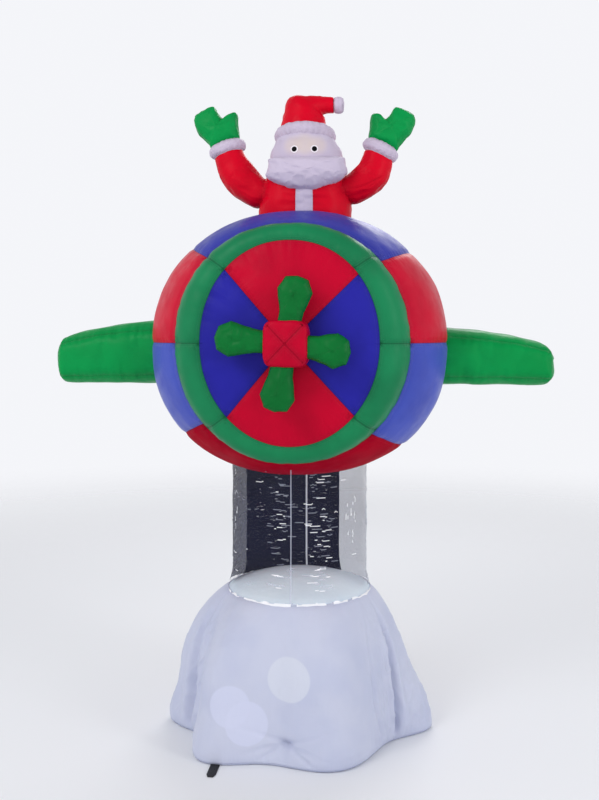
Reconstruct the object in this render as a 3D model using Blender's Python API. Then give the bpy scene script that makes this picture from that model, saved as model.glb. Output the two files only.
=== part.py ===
"""Inflatable santa riding a barrel-shaped aeroplane on a clear tube and a snow mound.

Metres, +Z up, the front of the aeroplane faces -Y, and the mound stands on z = 0.
"""

import math

import bpy
from mathutils import Vector

# Clearance between two pieces that touch.
GAP = 0.0004

# Snow mound: plan radius, height, and the folds of cloth that spread at its foot.
MOUND_HEIGHT = 0.588
MOUND_CROWN = 0.053
MOUND_SHOULDER_HEIGHT = MOUND_HEIGHT - MOUND_CROWN
MOUND_SHOULDER_RADIUS = 0.266
MOUND_PLAN_RADIUS = 0.365
MOUND_FOOT_TUCK = 0.012
MOUND_SIDE_LOBE = 0.142
MOUND_FRONT_LEFT_LOBE = 0.120
MOUND_FRONT_RIGHT_LOBE = 0.070
MOUND_BACK_LOBE = 0.080
MOUND_LOBES = (
    (2.0, MOUND_SIDE_LOBE, 11.0),
    (178.0, MOUND_SIDE_LOBE, 12.0),
    (-132.0, MOUND_FRONT_LEFT_LOBE, 13.0),
    (-66.0, MOUND_FRONT_RIGHT_LOBE, 16.0),
    (58.0, MOUND_BACK_LOBE, 18.0),
    (122.0, MOUND_BACK_LOBE, 18.0),
)
MOUND_WAIST_DEPTH = 0.09
# How much less the right lobe reaches above the foot.
MOUND_RIGHT_HOLLOW = 0.42

# Webbing tab at the mound's front left foot.
TAB_ANGLE = -125.0
TAB_HEADING = -91.0
TAB_WIDTH = 0.032
TAB_REACH = 0.095
TAB_ROOT = 0.060
TAB_THICKNESS = 0.003

# Clear tube.
TUBE_RADIUS = 0.256
TUBE_FOOT_RADIUS = 0.284
TUBE_CLEAR_LENGTH = 0.377
TUBE_FLARE = 0.110
TUBE_FLARE_TOP = MOUND_HEIGHT + 0.012
TUBE_FOOT_BOTTOM = TUBE_FLARE_TOP - TUBE_FLARE

# Aeroplane body.
BODY_HALF_WIDTH = 0.559
BODY_HALF_HEIGHT = 0.496
BODY_CENTRE_HEIGHT = MOUND_HEIGHT + TUBE_CLEAR_LENGTH + BODY_HALF_HEIGHT
BODY_TOP = BODY_CENTRE_HEIGHT + BODY_HALF_HEIGHT
BODY_SQUARENESS = 2.3
BODY_CROWN_SQUARENESS = 2.1
RING_OUTER_WIDTH = 0.415
RING_OUTER_HEIGHT = 0.420
RING_INNER_WIDTH = 0.308
RING_INNER_HEIGHT = 0.352
RING_OUTER_Y = -0.330
RING_INNER_Y = -0.418
RING_ROLL = 0.022
DISC_BULGE = 0.036
TAIL_LENGTH = 0.640

# Wings.
WING_SPAN = 0.962
WING_CHORD = 0.400
WING_CENTRE_Y = 0.190
WING_ROOT_INSIDE = 0.380
WING_DROP = 0.159
WING_UNDERSIDE = BODY_CENTRE_HEIGHT - WING_DROP
WING_LEFT_HEIGHT = 0.243
WING_RIGHT_HEIGHT = 0.212
WING_TIP_DROP = 0.072
WING_TIP_ROUND = 0.036

# Propeller.
HUB_WIDTH = 0.146
HUB_HEIGHT = 0.152
HUB_STAND = 0.108
HUB_FRONT_Y = RING_INNER_Y - DISC_BULGE - HUB_STAND
BLADE_THICKNESS = 0.062
BLADE_SETBACK = 0.007
BLADE_PLANE_Y = HUB_FRONT_Y + BLADE_SETBACK + 0.5 * BLADE_THICKNESS
BLADE_ROOT_WIDTH = 0.076
BLADE_WIDTH = 0.122
BLADE_LENGTH = 0.156
BLADE_SHORT_LENGTH = 0.144

# Santa's coat.
SANTA_X = 0.022
COAT_HALF_WIDTH = 0.176
COAT_HALF_DEPTH = 0.128
COAT_SHOULDER_WIDTH = 0.128
COAT_HEIGHT = 0.178
COAT_SUNK = 0.069
COAT_TOP_HEIGHT = BODY_TOP + COAT_HEIGHT
UPPER_ARM_RADIUS = 0.058
ELBOW_RADIUS = 0.067
WRIST_RADIUS = 0.054
CUFF_RADIUS = 0.070
CUFF_LENGTH = 0.046
MITTEN_WIDTH = 0.120
MITTEN_LENGTH = 0.156
MITTEN_THICKNESS = 0.092
THUMB_REACH = 0.090

# Each arm: how far the upper arm, elbow and wrist lie to its side of the coat's middle and above
# the top of the aeroplane, and the lean of the hand from upright.
LEFT_ARM = ((0.177, 0.077), (0.248, 0.137), (0.295, 0.231))
LEFT_LEAN = 18.0
LEFT_HAND_LEAN = 25.0
RIGHT_ARM = ((0.174, 0.087), (0.240, 0.127), (0.279, 0.219))
RIGHT_LEAN = -27.0
RIGHT_HAND_LEAN = -25.0

# Head, beard and hat.
HEAD_BROW_WIDTH = 0.108
HEAD_JAW_WIDTH = 0.139
HEAD_HALF_DEPTH = 0.106
HEAD_SUNK = 0.055
HEAD_HEIGHT = 0.182
HEAD_BOTTOM = COAT_TOP_HEIGHT - HEAD_SUNK
HEAD_TOP = HEAD_BOTTOM + HEAD_HEIGHT
HEAD_Y = -0.018
BEARD_OFFSET = 0.013
BEARD_X = SANTA_X + BEARD_OFFSET
BEARD_TOP_WIDTH = 0.270
BEARD_WIDTH = 0.306
BEARD_TIP_WIDTH = 0.090
BEARD_LENGTH = 0.128
BEARD_CHEEK = 0.072
BEARD_BOTTOM = HEAD_BOTTOM + BEARD_CHEEK - BEARD_LENGTH
BEARD_STAND = 0.040
BEARD_FRONT_Y = -COAT_HALF_DEPTH - BEARD_STAND
BEARD_THICKNESS = 0.150
BRIM_HALF_WIDTH = 0.1145
BRIM_HEIGHT = 0.050
BRIM_DROP = 0.018
BRIM_CENTRE_HEIGHT = HEAD_TOP - BRIM_DROP
BRIM_TILT = 9.0
HAT_BASE_RADIUS = 0.093
HAT_HEIGHT = 0.158
HAT_TIP_REACH = 0.109
HAT_TIP_X = SANTA_X + HAT_TIP_REACH
POMPOM_LENGTH = 0.038
POMPOM_RADIUS = 0.031


def clear_scene():
    """Remove everything the scene starts with."""
    for item in list(bpy.data.objects):
        bpy.data.objects.remove(item, do_unlink=True)


def collection(name):
    """Make a collection under the scene's own."""
    made = bpy.data.collections.new(name)
    bpy.context.scene.collection.children.link(made)
    return made


def material(name, colour, roughness=0.5, transmission=0.0, alpha=1.0):
    """A plain finish for one kind of cloth."""
    made = bpy.data.materials.new(name)
    made.use_nodes = True
    shader = made.node_tree.nodes["Principled BSDF"]
    shader.inputs["Base Color"].default_value = (*colour, 1.0)
    shader.inputs["Roughness"].default_value = roughness
    shader.inputs["Transmission Weight"].default_value = transmission
    shader.inputs["Alpha"].default_value = alpha
    made.diffuse_color = (*colour, alpha)
    return made


def signed_volume(points, faces):
    """Six times the volume that the faces enclose, negative when they face inwards."""
    total = 0.0
    for a, b, c in faces:
        total += points[a].dot(points[b].cross(points[c]))
    return total


def solid(name, points, faces, finish, home):
    """Make one closed body of triangles that face outwards."""
    if signed_volume(points, faces) < 0.0:
        faces = [(a, c, b) for a, b, c in faces]
    mesh = bpy.data.meshes.new(name)
    mesh.from_pydata([tuple(point) for point in points], [], faces)
    mesh.update()
    made = bpy.data.objects.new(name, mesh)
    made.data.materials.append(finish)
    home.objects.link(made)
    return made


def loft(name, rings, start, end, finish, home):
    """Skin a row of equal rings and close each end on a point."""
    count = len(rings[0])
    points = [start]
    for ring in rings:
        points.extend(ring)
    points.append(end)
    last = len(points) - 1
    faces = []
    for side in range(count):
        after = (side + 1) % count
        faces.append((0, 1 + after, 1 + side))
        for row in range(len(rings) - 1):
            low = 1 + row * count
            high = low + count
            faces.append((low + side, low + after, high + after))
            faces.append((low + side, high + after, high + side))
        top = 1 + (len(rings) - 1) * count
        faces.append((top + side, top + after, last))
    return solid(name, points, faces, finish, home)


def rounded_ring(centre, across, up, half_across, half_up, power, count, power_above=None):
    """A superellipse round a centre, which can be rounder in its upper half."""
    ring = []
    for step in range(count):
        turn = 2.0 * math.pi * step / count
        c = math.cos(turn)
        s = math.sin(turn)
        bend = power_above if power_above and s > 0.0 else power
        size = (abs(c) ** bend + abs(s) ** bend) ** (-1.0 / bend)
        ring.append(centre + across * (half_across * c * size) + up * (half_up * s * size))
    return ring


def smooth_outline(corners, count):
    """A closed curve through the corners, as evenly numbered points."""
    total = len(corners)
    outline = []
    for step in range(count):
        place = total * step / count
        index = int(place)
        t = place - index
        p0 = corners[(index - 1) % total]
        p1 = corners[index % total]
        p2 = corners[(index + 1) % total]
        p3 = corners[(index + 2) % total]
        point = []
        for a, b, c, d in zip(p0, p1, p2, p3):
            point.append(
                0.5 * (2 * b + (c - a) * t + (2 * a - 5 * b + 4 * c - d) * t * t + (3 * b - a - 3 * c + d) * t**3)
            )
        outline.append(tuple(point))
    return outline


def pillow(name, outline, middle, thickness, place, fullness, finish, home, layers=3):
    """A stuffed shape: a flat outline that swells to a thickness about its middle.

    The outline and its middle are pairs in the plane, and place turns such a pair and a
    height off the plane into a point.
    """
    rings = []
    for layer in range(-layers, layers + 1):
        lift = math.sin(0.5 * math.pi * layer / (layers + 1))
        spread = (1.0 - abs(lift) ** fullness) ** (1.0 / fullness)
        ring = []
        for u, v in outline:
            x = middle[0] + (u - middle[0]) * spread
            y = middle[1] + (v - middle[1]) * spread
            ring.append(place(x, y, 0.5 * thickness * lift))
        rings.append(ring)
    start = place(middle[0], middle[1], -0.5 * thickness)
    end = place(middle[0], middle[1], 0.5 * thickness)
    return loft(name, rings, start, end, finish, home)


def grown(source, gap, helpers):
    """A hidden copy of a piece, larger all round by the clearance."""
    copy = bpy.data.objects.new(source.name + "_clearance", source.data)
    helpers.objects.link(copy)
    copy.hide_render = True
    copy.display_type = "WIRE"
    swell = copy.modifiers.new("clearance", "DISPLACE")
    swell.direction = "NORMAL"
    swell.mid_level = 0.0
    swell.strength = gap
    return copy


def combine(target, other, operation):
    """Add or take away another body."""
    change = target.modifiers.new(other.name, "BOOLEAN")
    change.operation = operation
    change.solver = "EXACT"
    change.object = other


X_AXIS = Vector((1.0, 0.0, 0.0))
Y_AXIS = Vector((0.0, 1.0, 0.0))
Z_AXIS = Vector((0.0, 0.0, 1.0))


def mound_plan(angle, share=0.0):
    """The mound's reach in one direction, in degrees, at a share of its shoulder height."""
    reach = MOUND_PLAN_RADIUS
    rise = min(max((share - 0.2) / 0.35, 0.0), 1.0)
    for index, (lobe_angle, lobe_reach, lobe_spread) in enumerate(MOUND_LOBES):
        away = (angle - lobe_angle + 180.0) % 360.0 - 180.0
        hollow = MOUND_RIGHT_HOLLOW * rise * rise * (3.0 - 2.0 * rise) if index == 0 else 0.0
        reach += lobe_reach * (1.0 - hollow) * math.exp(-0.5 * (away / lobe_spread) ** 2)
    return reach


def mound_radius(angle, share):
    """The mound's radius at a share of its shoulder height."""
    swell = (1.0 - share**2) ** 0.75
    waist = MOUND_WAIST_DEPTH * math.exp(-(((share - 0.3) / 0.18) ** 2))
    spread = mound_plan(angle, share) - MOUND_SHOULDER_RADIUS
    return MOUND_SHOULDER_RADIUS + spread * (swell - waist)


def build_mound(finish, home):
    """The white snow mound, with its flat underside on the ground."""
    count = 48
    rings = []
    for share in (0.0, 0.04, 0.14, 0.28, 0.44, 0.60, 0.75, 0.87, 0.95, 1.0):
        tuck = MOUND_FOOT_TUCK if share == 0.0 else 0.0
        ring = []
        for step in range(count):
            angle = 360.0 * step / count
            turn = math.radians(angle)
            radius = mound_radius(angle, share) - tuck
            height = MOUND_SHOULDER_HEIGHT * share
            ring.append(Vector((radius * math.cos(turn), radius * math.sin(turn), height)))
        rings.append(ring)
    for share in (0.72, 0.38):
        ring = []
        for step in range(count):
            turn = 2.0 * math.pi * step / count
            radius = MOUND_SHOULDER_RADIUS * share
            height = MOUND_SHOULDER_HEIGHT + MOUND_CROWN * (1.0 - share**2)
            ring.append(Vector((radius * math.cos(turn), radius * math.sin(turn), height)))
        rings.append(ring)
    start = Vector((0.0, 0.0, 0.0))
    end = Vector((0.0, 0.0, MOUND_HEIGHT))
    return loft("snow_mound", rings, start, end, finish, home)


def build_tab(mound, finish, home, helpers):
    """The flat webbing tab that comes out from under the mound."""
    turn = math.radians(TAB_ANGLE)
    edge = Vector((math.cos(turn), math.sin(turn), 0.0)) * (mound_plan(TAB_ANGLE) - 0.5 * TAB_WIDTH)
    turn = math.radians(TAB_HEADING)
    out = Vector((math.cos(turn), math.sin(turn), 0.0))
    side = Vector((-out.y, out.x, 0.0))
    rings = []
    for lift in (0.0, TAB_THICKNESS):
        ring = []
        for along, across in (
            (-TAB_ROOT, -0.5),
            (0.8 * TAB_REACH, -0.5),
            (TAB_REACH, -0.3),
            (TAB_REACH, 0.3),
            (0.8 * TAB_REACH, 0.5),
            (-TAB_ROOT, 0.5),
        ):
            ring.append(edge + out * along + side * (across * TAB_WIDTH) + Z_AXIS * lift)
        rings.append(ring)
    middle = edge
    tab = loft("tether_tab", rings, middle, middle + Z_AXIS * TAB_THICKNESS, finish, home)
    combine(tab, grown(mound, GAP, helpers), "DIFFERENCE")
    return tab


def body_section(y):
    """Half width and half height of the barrel at one place along its length."""
    if y > 0.0:
        shrink = (1.0 - (y / TAIL_LENGTH) ** 2.3) ** 0.55
        return BODY_HALF_WIDTH * shrink, BODY_HALF_HEIGHT * shrink
    reach = y / RING_OUTER_Y
    wide = math.sqrt(1.0 - (1.0 - (RING_OUTER_WIDTH / BODY_HALF_WIDTH) ** 2) * reach**2)
    high = math.sqrt(1.0 - (1.0 - (RING_OUTER_HEIGHT / BODY_HALF_HEIGHT) ** 2) * reach**2)
    return BODY_HALF_WIDTH * wide, BODY_HALF_HEIGHT * high


def build_body(finish, home):
    """The barrel body: front disc, rolled ring, bulging sides and a rounded tail."""
    count = 44
    sections = []
    for share in (0.35, 0.72, 0.93):
        y = RING_INNER_Y - DISC_BULGE * (1.0 - share**2)
        sections.append((y, RING_INNER_WIDTH * share, RING_INNER_HEIGHT * share, 2.0))
    sections.append((RING_INNER_Y, RING_INNER_WIDTH, RING_INNER_HEIGHT, 2.0))
    for share in (0.22, 0.5, 0.78):
        roll = RING_ROLL * math.sin(math.pi * share)
        y = RING_INNER_Y + (RING_OUTER_Y - RING_INNER_Y) * share**1.4 - 0.7 * roll
        wide = RING_INNER_WIDTH + (RING_OUTER_WIDTH - RING_INNER_WIDTH) * share
        high = RING_INNER_HEIGHT + (RING_OUTER_HEIGHT - RING_INNER_HEIGHT) * share
        sections.append((y, wide + 0.7 * roll, high + 0.7 * roll, 2.05))
    sections.append((RING_OUTER_Y, RING_OUTER_WIDTH, RING_OUTER_HEIGHT, 2.1))
    for share in (0.82, 0.55, 0.27, 0.0):
        y = RING_OUTER_Y * share
        wide, high = body_section(y)
        squareness = 2.1 + (BODY_SQUARENESS - 2.1) * (1.0 - share)
        sections.append((y, wide, high, squareness))
    for share in (0.2, 0.4, 0.58, 0.74, 0.87, 0.96):
        y = TAIL_LENGTH * share
        wide, high = body_section(y)
        sections.append((y, wide, high, BODY_SQUARENESS - 0.3 * share))
    centre = Vector((0.0, 0.0, BODY_CENTRE_HEIGHT))
    rings = []
    for y, wide, high, power in sections:
        rings.append(
            rounded_ring(centre + Y_AXIS * y, X_AXIS, Z_AXIS, wide, high, power, count, BODY_CROWN_SQUARENESS)
        )
    start = centre + Y_AXIS * (RING_INNER_Y - DISC_BULGE)
    end = centre + Y_AXIS * TAIL_LENGTH
    return loft("plane_body", rings, start, end, finish, home)


def build_tube(mound, body, finish, home, helpers):
    """The clear tube between the mound and the aeroplane, closed by them at both ends."""
    count = 32
    rings = []
    for height, radius in (
        (TUBE_FOOT_BOTTOM, TUBE_FOOT_RADIUS),
        (TUBE_FOOT_BOTTOM + 0.4 * TUBE_FLARE, 0.3 * TUBE_RADIUS + 0.7 * TUBE_FOOT_RADIUS),
        (TUBE_FLARE_TOP, TUBE_RADIUS),
        (BODY_CENTRE_HEIGHT - 0.5 * BODY_HALF_HEIGHT, TUBE_RADIUS),
    ):
        rings.append(rounded_ring(Z_AXIS * height, X_AXIS, Y_AXIS, radius, radius, 2.0, count))
    start = Z_AXIS * TUBE_FOOT_BOTTOM
    end = Z_AXIS * (BODY_CENTRE_HEIGHT - 0.5 * BODY_HALF_HEIGHT)
    tube = loft("clear_tube", rings, start, end, finish, home)
    combine(tube, grown(mound, GAP, helpers), "DIFFERENCE")
    combine(tube, grown(body, GAP, helpers), "DIFFERENCE")
    return tube


def build_wing(side, height, body, finish, home, helpers):
    """One stuffed wing, a tall pillow that thins towards its rounded tip."""
    count = 24
    reach = WING_SPAN - WING_ROOT_INSIDE
    rings = []
    for share in (0.0, 0.4, 0.65, 0.83, 0.93, 0.985):
        taper = height - WING_TIP_DROP * share**2.6
        near = max(0.0, 1.0 - (1.0 - share) * reach / WING_TIP_ROUND)
        shrink = 1.0 - 0.11 * near**2
        x = side * (WING_ROOT_INSIDE + reach * share)
        centre = Vector((x, WING_CENTRE_Y, WING_UNDERSIDE + 0.5 * taper))
        rings.append(
            rounded_ring(centre, Y_AXIS, Z_AXIS, 0.5 * WING_CHORD * shrink, 0.5 * taper * shrink, 4.2, count)
        )
    first = Vector((side * WING_ROOT_INSIDE, WING_CENTRE_Y, WING_UNDERSIDE + 0.5 * height))
    last = Vector((side * WING_SPAN, WING_CENTRE_Y, WING_UNDERSIDE + 0.5 * (height - WING_TIP_DROP)))
    name = "wing_right" if side > 0 else "wing_left"
    wing = loft(name, rings, first, last, finish, home)
    combine(wing, grown(body, GAP, helpers), "DIFFERENCE")
    return wing


def build_hub(body, finish, home, helpers):
    """The stuffed box at the middle of the propeller."""
    back = RING_INNER_Y
    centre = Vector((0.0, 0.0, BODY_CENTRE_HEIGHT))
    rings = []
    for y, size in (
        (back, 0.96),
        (0.5 * (back + HUB_FRONT_Y), 1.02),
        (HUB_FRONT_Y + 0.022, 1.0),
        (HUB_FRONT_Y + 0.008, 0.93),
    ):
        rings.append(
            rounded_ring(centre + Y_AXIS * y, X_AXIS, Z_AXIS, 0.5 * HUB_WIDTH * size, 0.5 * HUB_HEIGHT * size, 5.0, 20)
        )
    start = centre + Y_AXIS * back
    end = centre + Y_AXIS * HUB_FRONT_Y
    hub = loft("propeller_hub", rings, start, end, finish, home)
    combine(hub, grown(body, GAP, helpers), "DIFFERENCE")
    return hub


def build_blade(name, angle, length, hub, finish, home, helpers):
    """One club-shaped blade, pointing at an angle from the right, anticlockwise."""
    turn = math.radians(angle)
    along = Vector((math.cos(turn), 0.0, math.sin(turn)))
    across = Vector((-math.sin(turn), 0.0, math.cos(turn)))
    centre = Vector((0.0, BLADE_PLANE_Y, BODY_CENTRE_HEIGHT))
    inner = 0.5 * HUB_WIDTH - 0.030
    outer = 0.5 * HUB_WIDTH + length
    root = 0.5 * BLADE_ROOT_WIDTH
    wide = 0.5 * BLADE_WIDTH
    corners = (
        (inner, -root),
        (inner + 0.35 * (outer - inner), -1.12 * root),
        (outer - 0.052, -wide),
        (outer - 0.010, -0.66 * wide),
        (outer, 0.0),
        (outer - 0.010, 0.66 * wide),
        (outer - 0.052, wide),
        (inner + 0.35 * (outer - inner), 1.12 * root),
        (inner, root),
        (inner, 0.0),
    )

    def place(u, v, lift):
        return centre + along * u + across * v + Y_AXIS * lift

    outline = smooth_outline(corners, 20)
    middle = (0.5 * (inner + outer) + 0.012, 0.0)
    blade = pillow(name, outline, middle, BLADE_THICKNESS, place, 2.6, finish, home, layers=2)
    combine(blade, grown(hub, GAP, helpers), "DIFFERENCE")
    return blade


def tube_along(name, path, finish, home, count):
    """A sleeve through centres in X and Z, each with a radius across and in depth."""
    rings = []
    for index, (x, z, radius, depth) in enumerate(path):
        before = path[max(index - 1, 0)]
        after = path[min(index + 1, len(path) - 1)]
        along = Vector((after[0] - before[0], 0.0, after[1] - before[1])).normalized()
        across = Vector((along.z, 0.0, -along.x))
        rings.append(rounded_ring(Vector((x, 0.0, z)), across, Y_AXIS, radius, depth, 2.0, count))
    start = Vector((path[0][0], 0.0, path[0][1]))
    end = Vector((path[-1][0], 0.0, path[-1][1]))
    return loft(name, rings, start, end, finish, home)


def arm_points(side, arm):
    """The arm's points in X and Z, from their places beside the coat's middle."""
    return [(SANTA_X + side * out, BODY_TOP + lift) for out, lift in arm]


def lean_axes(lean):
    """The directions along and across a hand that leans from upright, in degrees."""
    turn = math.radians(lean)
    return Vector((-math.sin(turn), 0.0, math.cos(turn))), Vector((math.cos(turn), 0.0, math.sin(turn)))


def build_coat(body, finish, home, helpers):
    """The red coat: one bag with both sleeves raised."""
    low = BODY_TOP - COAT_SUNK
    tall = COAT_HEIGHT + COAT_SUNK
    rings = []
    for share, wide, deep in (
        (0.0, 0.97, 0.97),
        (0.32, 1.0, 1.0),
        (0.55, 0.97, 1.0),
        (0.72, 0.90, 0.95),
        (0.88, 0.74, 0.76),
        (0.97, 0.42, 0.46),
    ):
        centre = Vector((SANTA_X, 0.0, low + tall * share))
        rings.append(
            rounded_ring(centre, X_AXIS, Y_AXIS, COAT_HALF_WIDTH * wide, COAT_HALF_DEPTH * deep, 2.2, 28)
        )
    coat = loft(
        "coat",
        rings,
        Vector((SANTA_X, 0.0, low)),
        Vector((SANTA_X, 0.0, COAT_TOP_HEIGHT)),
        finish,
        home,
    )
    parts = [coat]
    for label, side, arm in (("left", -1.0, LEFT_ARM), ("right", 1.0, RIGHT_ARM)):
        upper, elbow, wrist = arm_points(side, arm)
        shoulder = (SANTA_X + side * 0.5 * COAT_SHOULDER_WIDTH, upper[1] - 0.006)
        fore = (0.5 * elbow[0] + 0.5 * wrist[0] + side * 0.008, 0.5 * elbow[1] + 0.5 * wrist[1])
        forearm = 0.5 * (ELBOW_RADIUS + WRIST_RADIUS)
        path = (
            (*shoulder, UPPER_ARM_RADIUS, 1.3 * UPPER_ARM_RADIUS),
            (*upper, UPPER_ARM_RADIUS, 1.25 * UPPER_ARM_RADIUS),
            (*elbow, ELBOW_RADIUS, 1.05 * ELBOW_RADIUS),
            (*fore, forearm, forearm),
            (*wrist, WRIST_RADIUS, WRIST_RADIUS),
        )
        sleeve = tube_along("sleeve_" + label, path, finish, helpers, 18)
        sleeve.hide_render = True
        sleeve.display_type = "WIRE"
        combine(coat, sleeve, "UNION")
        parts.append(sleeve)
    combine(coat, grown(body, GAP, helpers), "DIFFERENCE")
    return coat, parts


def build_hand(label, side, wrist, lean, hand_lean, sleeve, cloth, home, helpers):
    """A bulging cuff and the mitten that comes out of it."""
    fur, knit = cloth
    along, across = lean_axes(lean)
    base = Vector((wrist[0], 0.0, wrist[1]))
    rings = []
    for share, size in ((0.0, 0.88), (0.2, 0.98), (0.5, 1.0), (0.8, 0.98), (1.0, 0.86)):
        centre = base + along * (CUFF_LENGTH * (share - 0.12))
        rings.append(rounded_ring(centre, across, Y_AXIS, CUFF_RADIUS * size, CUFF_RADIUS * size, 2.0, 20))
    start = base - along * (0.12 * CUFF_LENGTH)
    end = base + along * (0.88 * CUFF_LENGTH)
    cuff = loft("cuff_" + label, rings, start, end, fur, home)
    combine(cuff, grown(sleeve, GAP, helpers), "DIFFERENCE")
    hand_along, hand_across = lean_axes(hand_lean)
    root = base + along * (0.7 * CUFF_LENGTH)
    half = 0.5 * MITTEN_WIDTH
    long = MITTEN_LENGTH + 0.18 * CUFF_LENGTH
    corners = (
        (-0.86 * half, 0.0),
        (-1.02 * half, 0.20 * long),
        (-1.30 * half, 0.48 * long),
        (-1.33 * half, 0.77 * long),
        (-1.02 * half, 0.95 * long),
        (-0.38 * half, long),
        (0.34 * half, 0.95 * long),
        (0.40 * half, 0.78 * long),
        (0.60 * half, 0.575 * long),
        (0.70 * THUMB_REACH, 0.65 * long),
        (0.93 * THUMB_REACH, 0.625 * long),
        (THUMB_REACH, 0.52 * long),
        (0.86 * THUMB_REACH, 0.34 * long),
        (0.90 * half, 0.0),
    )

    def place(u, v, lift):
        return root + hand_across * (-side * u) + hand_along * v + Y_AXIS * lift

    outline = smooth_outline(corners, 42)
    mitten = pillow(
        "mitten_" + label, outline, (-0.08 * half, 0.46 * long), MITTEN_THICKNESS, place, 2.3, knit, home, layers=2
    )
    combine(mitten, grown(cuff, GAP, helpers), "DIFFERENCE")
    return cuff, mitten


def build_head(coat_parts, finish, home, helpers):
    """The head, a bell that widens from the brow to the whiskers, set down on the coat."""
    count = 22
    tall = HEAD_HEIGHT
    rings = []
    for share, jaw, size in (
        (0.06, 1.0, 0.80),
        (0.20, 1.0, 0.97),
        (0.38, 1.0, 1.0),
        (0.55, 0.84, 1.0),
        (0.70, 0.38, 1.0),
        (0.82, 0.0, 1.0),
        (0.93, 0.0, 0.82),
        (0.985, 0.0, 0.48),
    ):
        wide = HEAD_BROW_WIDTH + (HEAD_JAW_WIDTH - HEAD_BROW_WIDTH) * jaw
        shift = (BEARD_X - SANTA_X) * (1.0 - share)
        middle = Vector((SANTA_X + shift, HEAD_Y, HEAD_BOTTOM + tall * share))
        rings.append(rounded_ring(middle, X_AXIS, Y_AXIS, wide * size, HEAD_HALF_DEPTH * size, 2.0, count))
    start = Vector((BEARD_X, HEAD_Y, HEAD_BOTTOM))
    end = Vector((SANTA_X, HEAD_Y, HEAD_TOP))
    head = loft("head", rings, start, end, finish, home)
    for part in coat_parts:
        combine(head, grown(part, GAP, helpers), "DIFFERENCE")
    return head


def build_beard(head, coat_parts, finish, home, helpers):
    """The wide stuffed beard that hangs over the chest."""
    top = 0.5 * BEARD_TOP_WIDTH
    wide = 0.5 * BEARD_WIDTH
    tip = 0.5 * BEARD_TIP_WIDTH
    tall = BEARD_LENGTH
    corners = (
        (0.0, 0.0),
        (tip, 0.02 * tall),
        (0.72 * wide, 0.24 * tall),
        (wide, 0.50 * tall),
        (0.94 * wide, 0.80 * tall),
        (top, 0.97 * tall),
        (0.5 * top, 1.0 * tall),
        (0.0, 1.0 * tall),
        (-0.5 * top, 1.0 * tall),
        (-top, 0.97 * tall),
        (-0.94 * wide, 0.80 * tall),
        (-wide, 0.46 * tall),
        (-0.72 * wide, 0.20 * tall),
        (-tip, 0.02 * tall),
    )
    middle_y = BEARD_FRONT_Y + 0.5 * BEARD_THICKNESS

    def place(u, v, lift):
        return Vector((BEARD_X + u, middle_y + lift, BEARD_BOTTOM + v))

    outline = smooth_outline(corners, 24)
    beard = pillow("beard", outline, (0.0, 0.56 * tall), BEARD_THICKNESS, place, 2.6, finish, home)
    for part in [head, *coat_parts]:
        combine(beard, grown(part, GAP, helpers), "DIFFERENCE")
    return beard


def build_hat(head, cloth, home, helpers):
    """The fur brim, the folded hat and the pompom at its tip."""
    red, fur = cloth
    tilt = math.radians(BRIM_TILT)
    up = Vector((0.0, math.sin(tilt), math.cos(tilt)))
    deep = Vector((0.0, math.cos(tilt), -math.sin(tilt)))
    centre = Vector((SANTA_X + 0.001, HEAD_Y + 0.006, BRIM_CENTRE_HEIGHT))
    rings = []
    for step in range(5):
        turn = math.pi * (step - 2) / 5.2
        size = BRIM_HALF_WIDTH * (0.86 + 0.14 * math.cos(turn))
        lift = 0.5 * BRIM_HEIGHT * math.sin(turn) / math.sin(math.pi * 2 / 5.2)
        rings.append(rounded_ring(centre + up * lift, X_AXIS, deep, size, size, 2.0, 26))
    half = up * (0.5 * BRIM_HEIGHT)
    brim = loft("hat_brim", rings, centre - half, centre + half, fur, home)
    combine(brim, grown(head, GAP, helpers), "DIFFERENCE")
    base = centre + up * (0.3 * BRIM_HEIGHT)
    tall = HAT_HEIGHT - 0.3 * BRIM_HEIGHT * up.z
    tip_z = base.z + tall * 0.725
    rings = []
    for out, lift, lean, size, deep_size in (
        (-0.06, 0.0, 0.0, 1.0, 1.0),
        (-0.03, 0.43, 8.0, 0.86, 0.90),
        (0.05, 0.69, 28.0, 0.76, 0.78),
        (0.34, 0.735, 47.0, 0.51, 0.62),
        (0.69, 0.735, 72.0, 0.365, 0.43),
        (1.0, 0.725, 90.0, 0.33, 0.34),
    ):
        turn = math.radians(lean)
        across = Vector((math.cos(turn), 0.0, -math.sin(turn)))
        x = base.x + (HAT_TIP_X - base.x) * out
        middle = Vector((x, centre.y, base.z + tall * lift))
        rings.append(
            rounded_ring(middle, across, Y_AXIS, HAT_BASE_RADIUS * size, HAT_BASE_RADIUS * deep_size, 2.0, 22)
        )
    hat = loft("hat", rings, Vector((base.x, centre.y, base.z)), Vector((HAT_TIP_X, centre.y, tip_z)), red, home)
    combine(hat, grown(brim, GAP, helpers), "DIFFERENCE")
    combine(hat, grown(head, GAP, helpers), "DIFFERENCE")
    rings = []
    for share, size in ((0.0, 0.84), (0.25, 1.0), (0.75, 1.0), (1.0, 0.82)):
        middle = Vector((HAT_TIP_X + GAP + POMPOM_LENGTH * share, centre.y, tip_z))
        rings.append(rounded_ring(middle, Y_AXIS, Z_AXIS, POMPOM_RADIUS * size, POMPOM_RADIUS * size, 2.0, 18))
    start = Vector((HAT_TIP_X + GAP, centre.y, tip_z))
    end = start + X_AXIS * (POMPOM_LENGTH + 0.003)
    pompom = loft("pompom", rings, start, end, fur, home)
    return brim, hat, pompom


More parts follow.
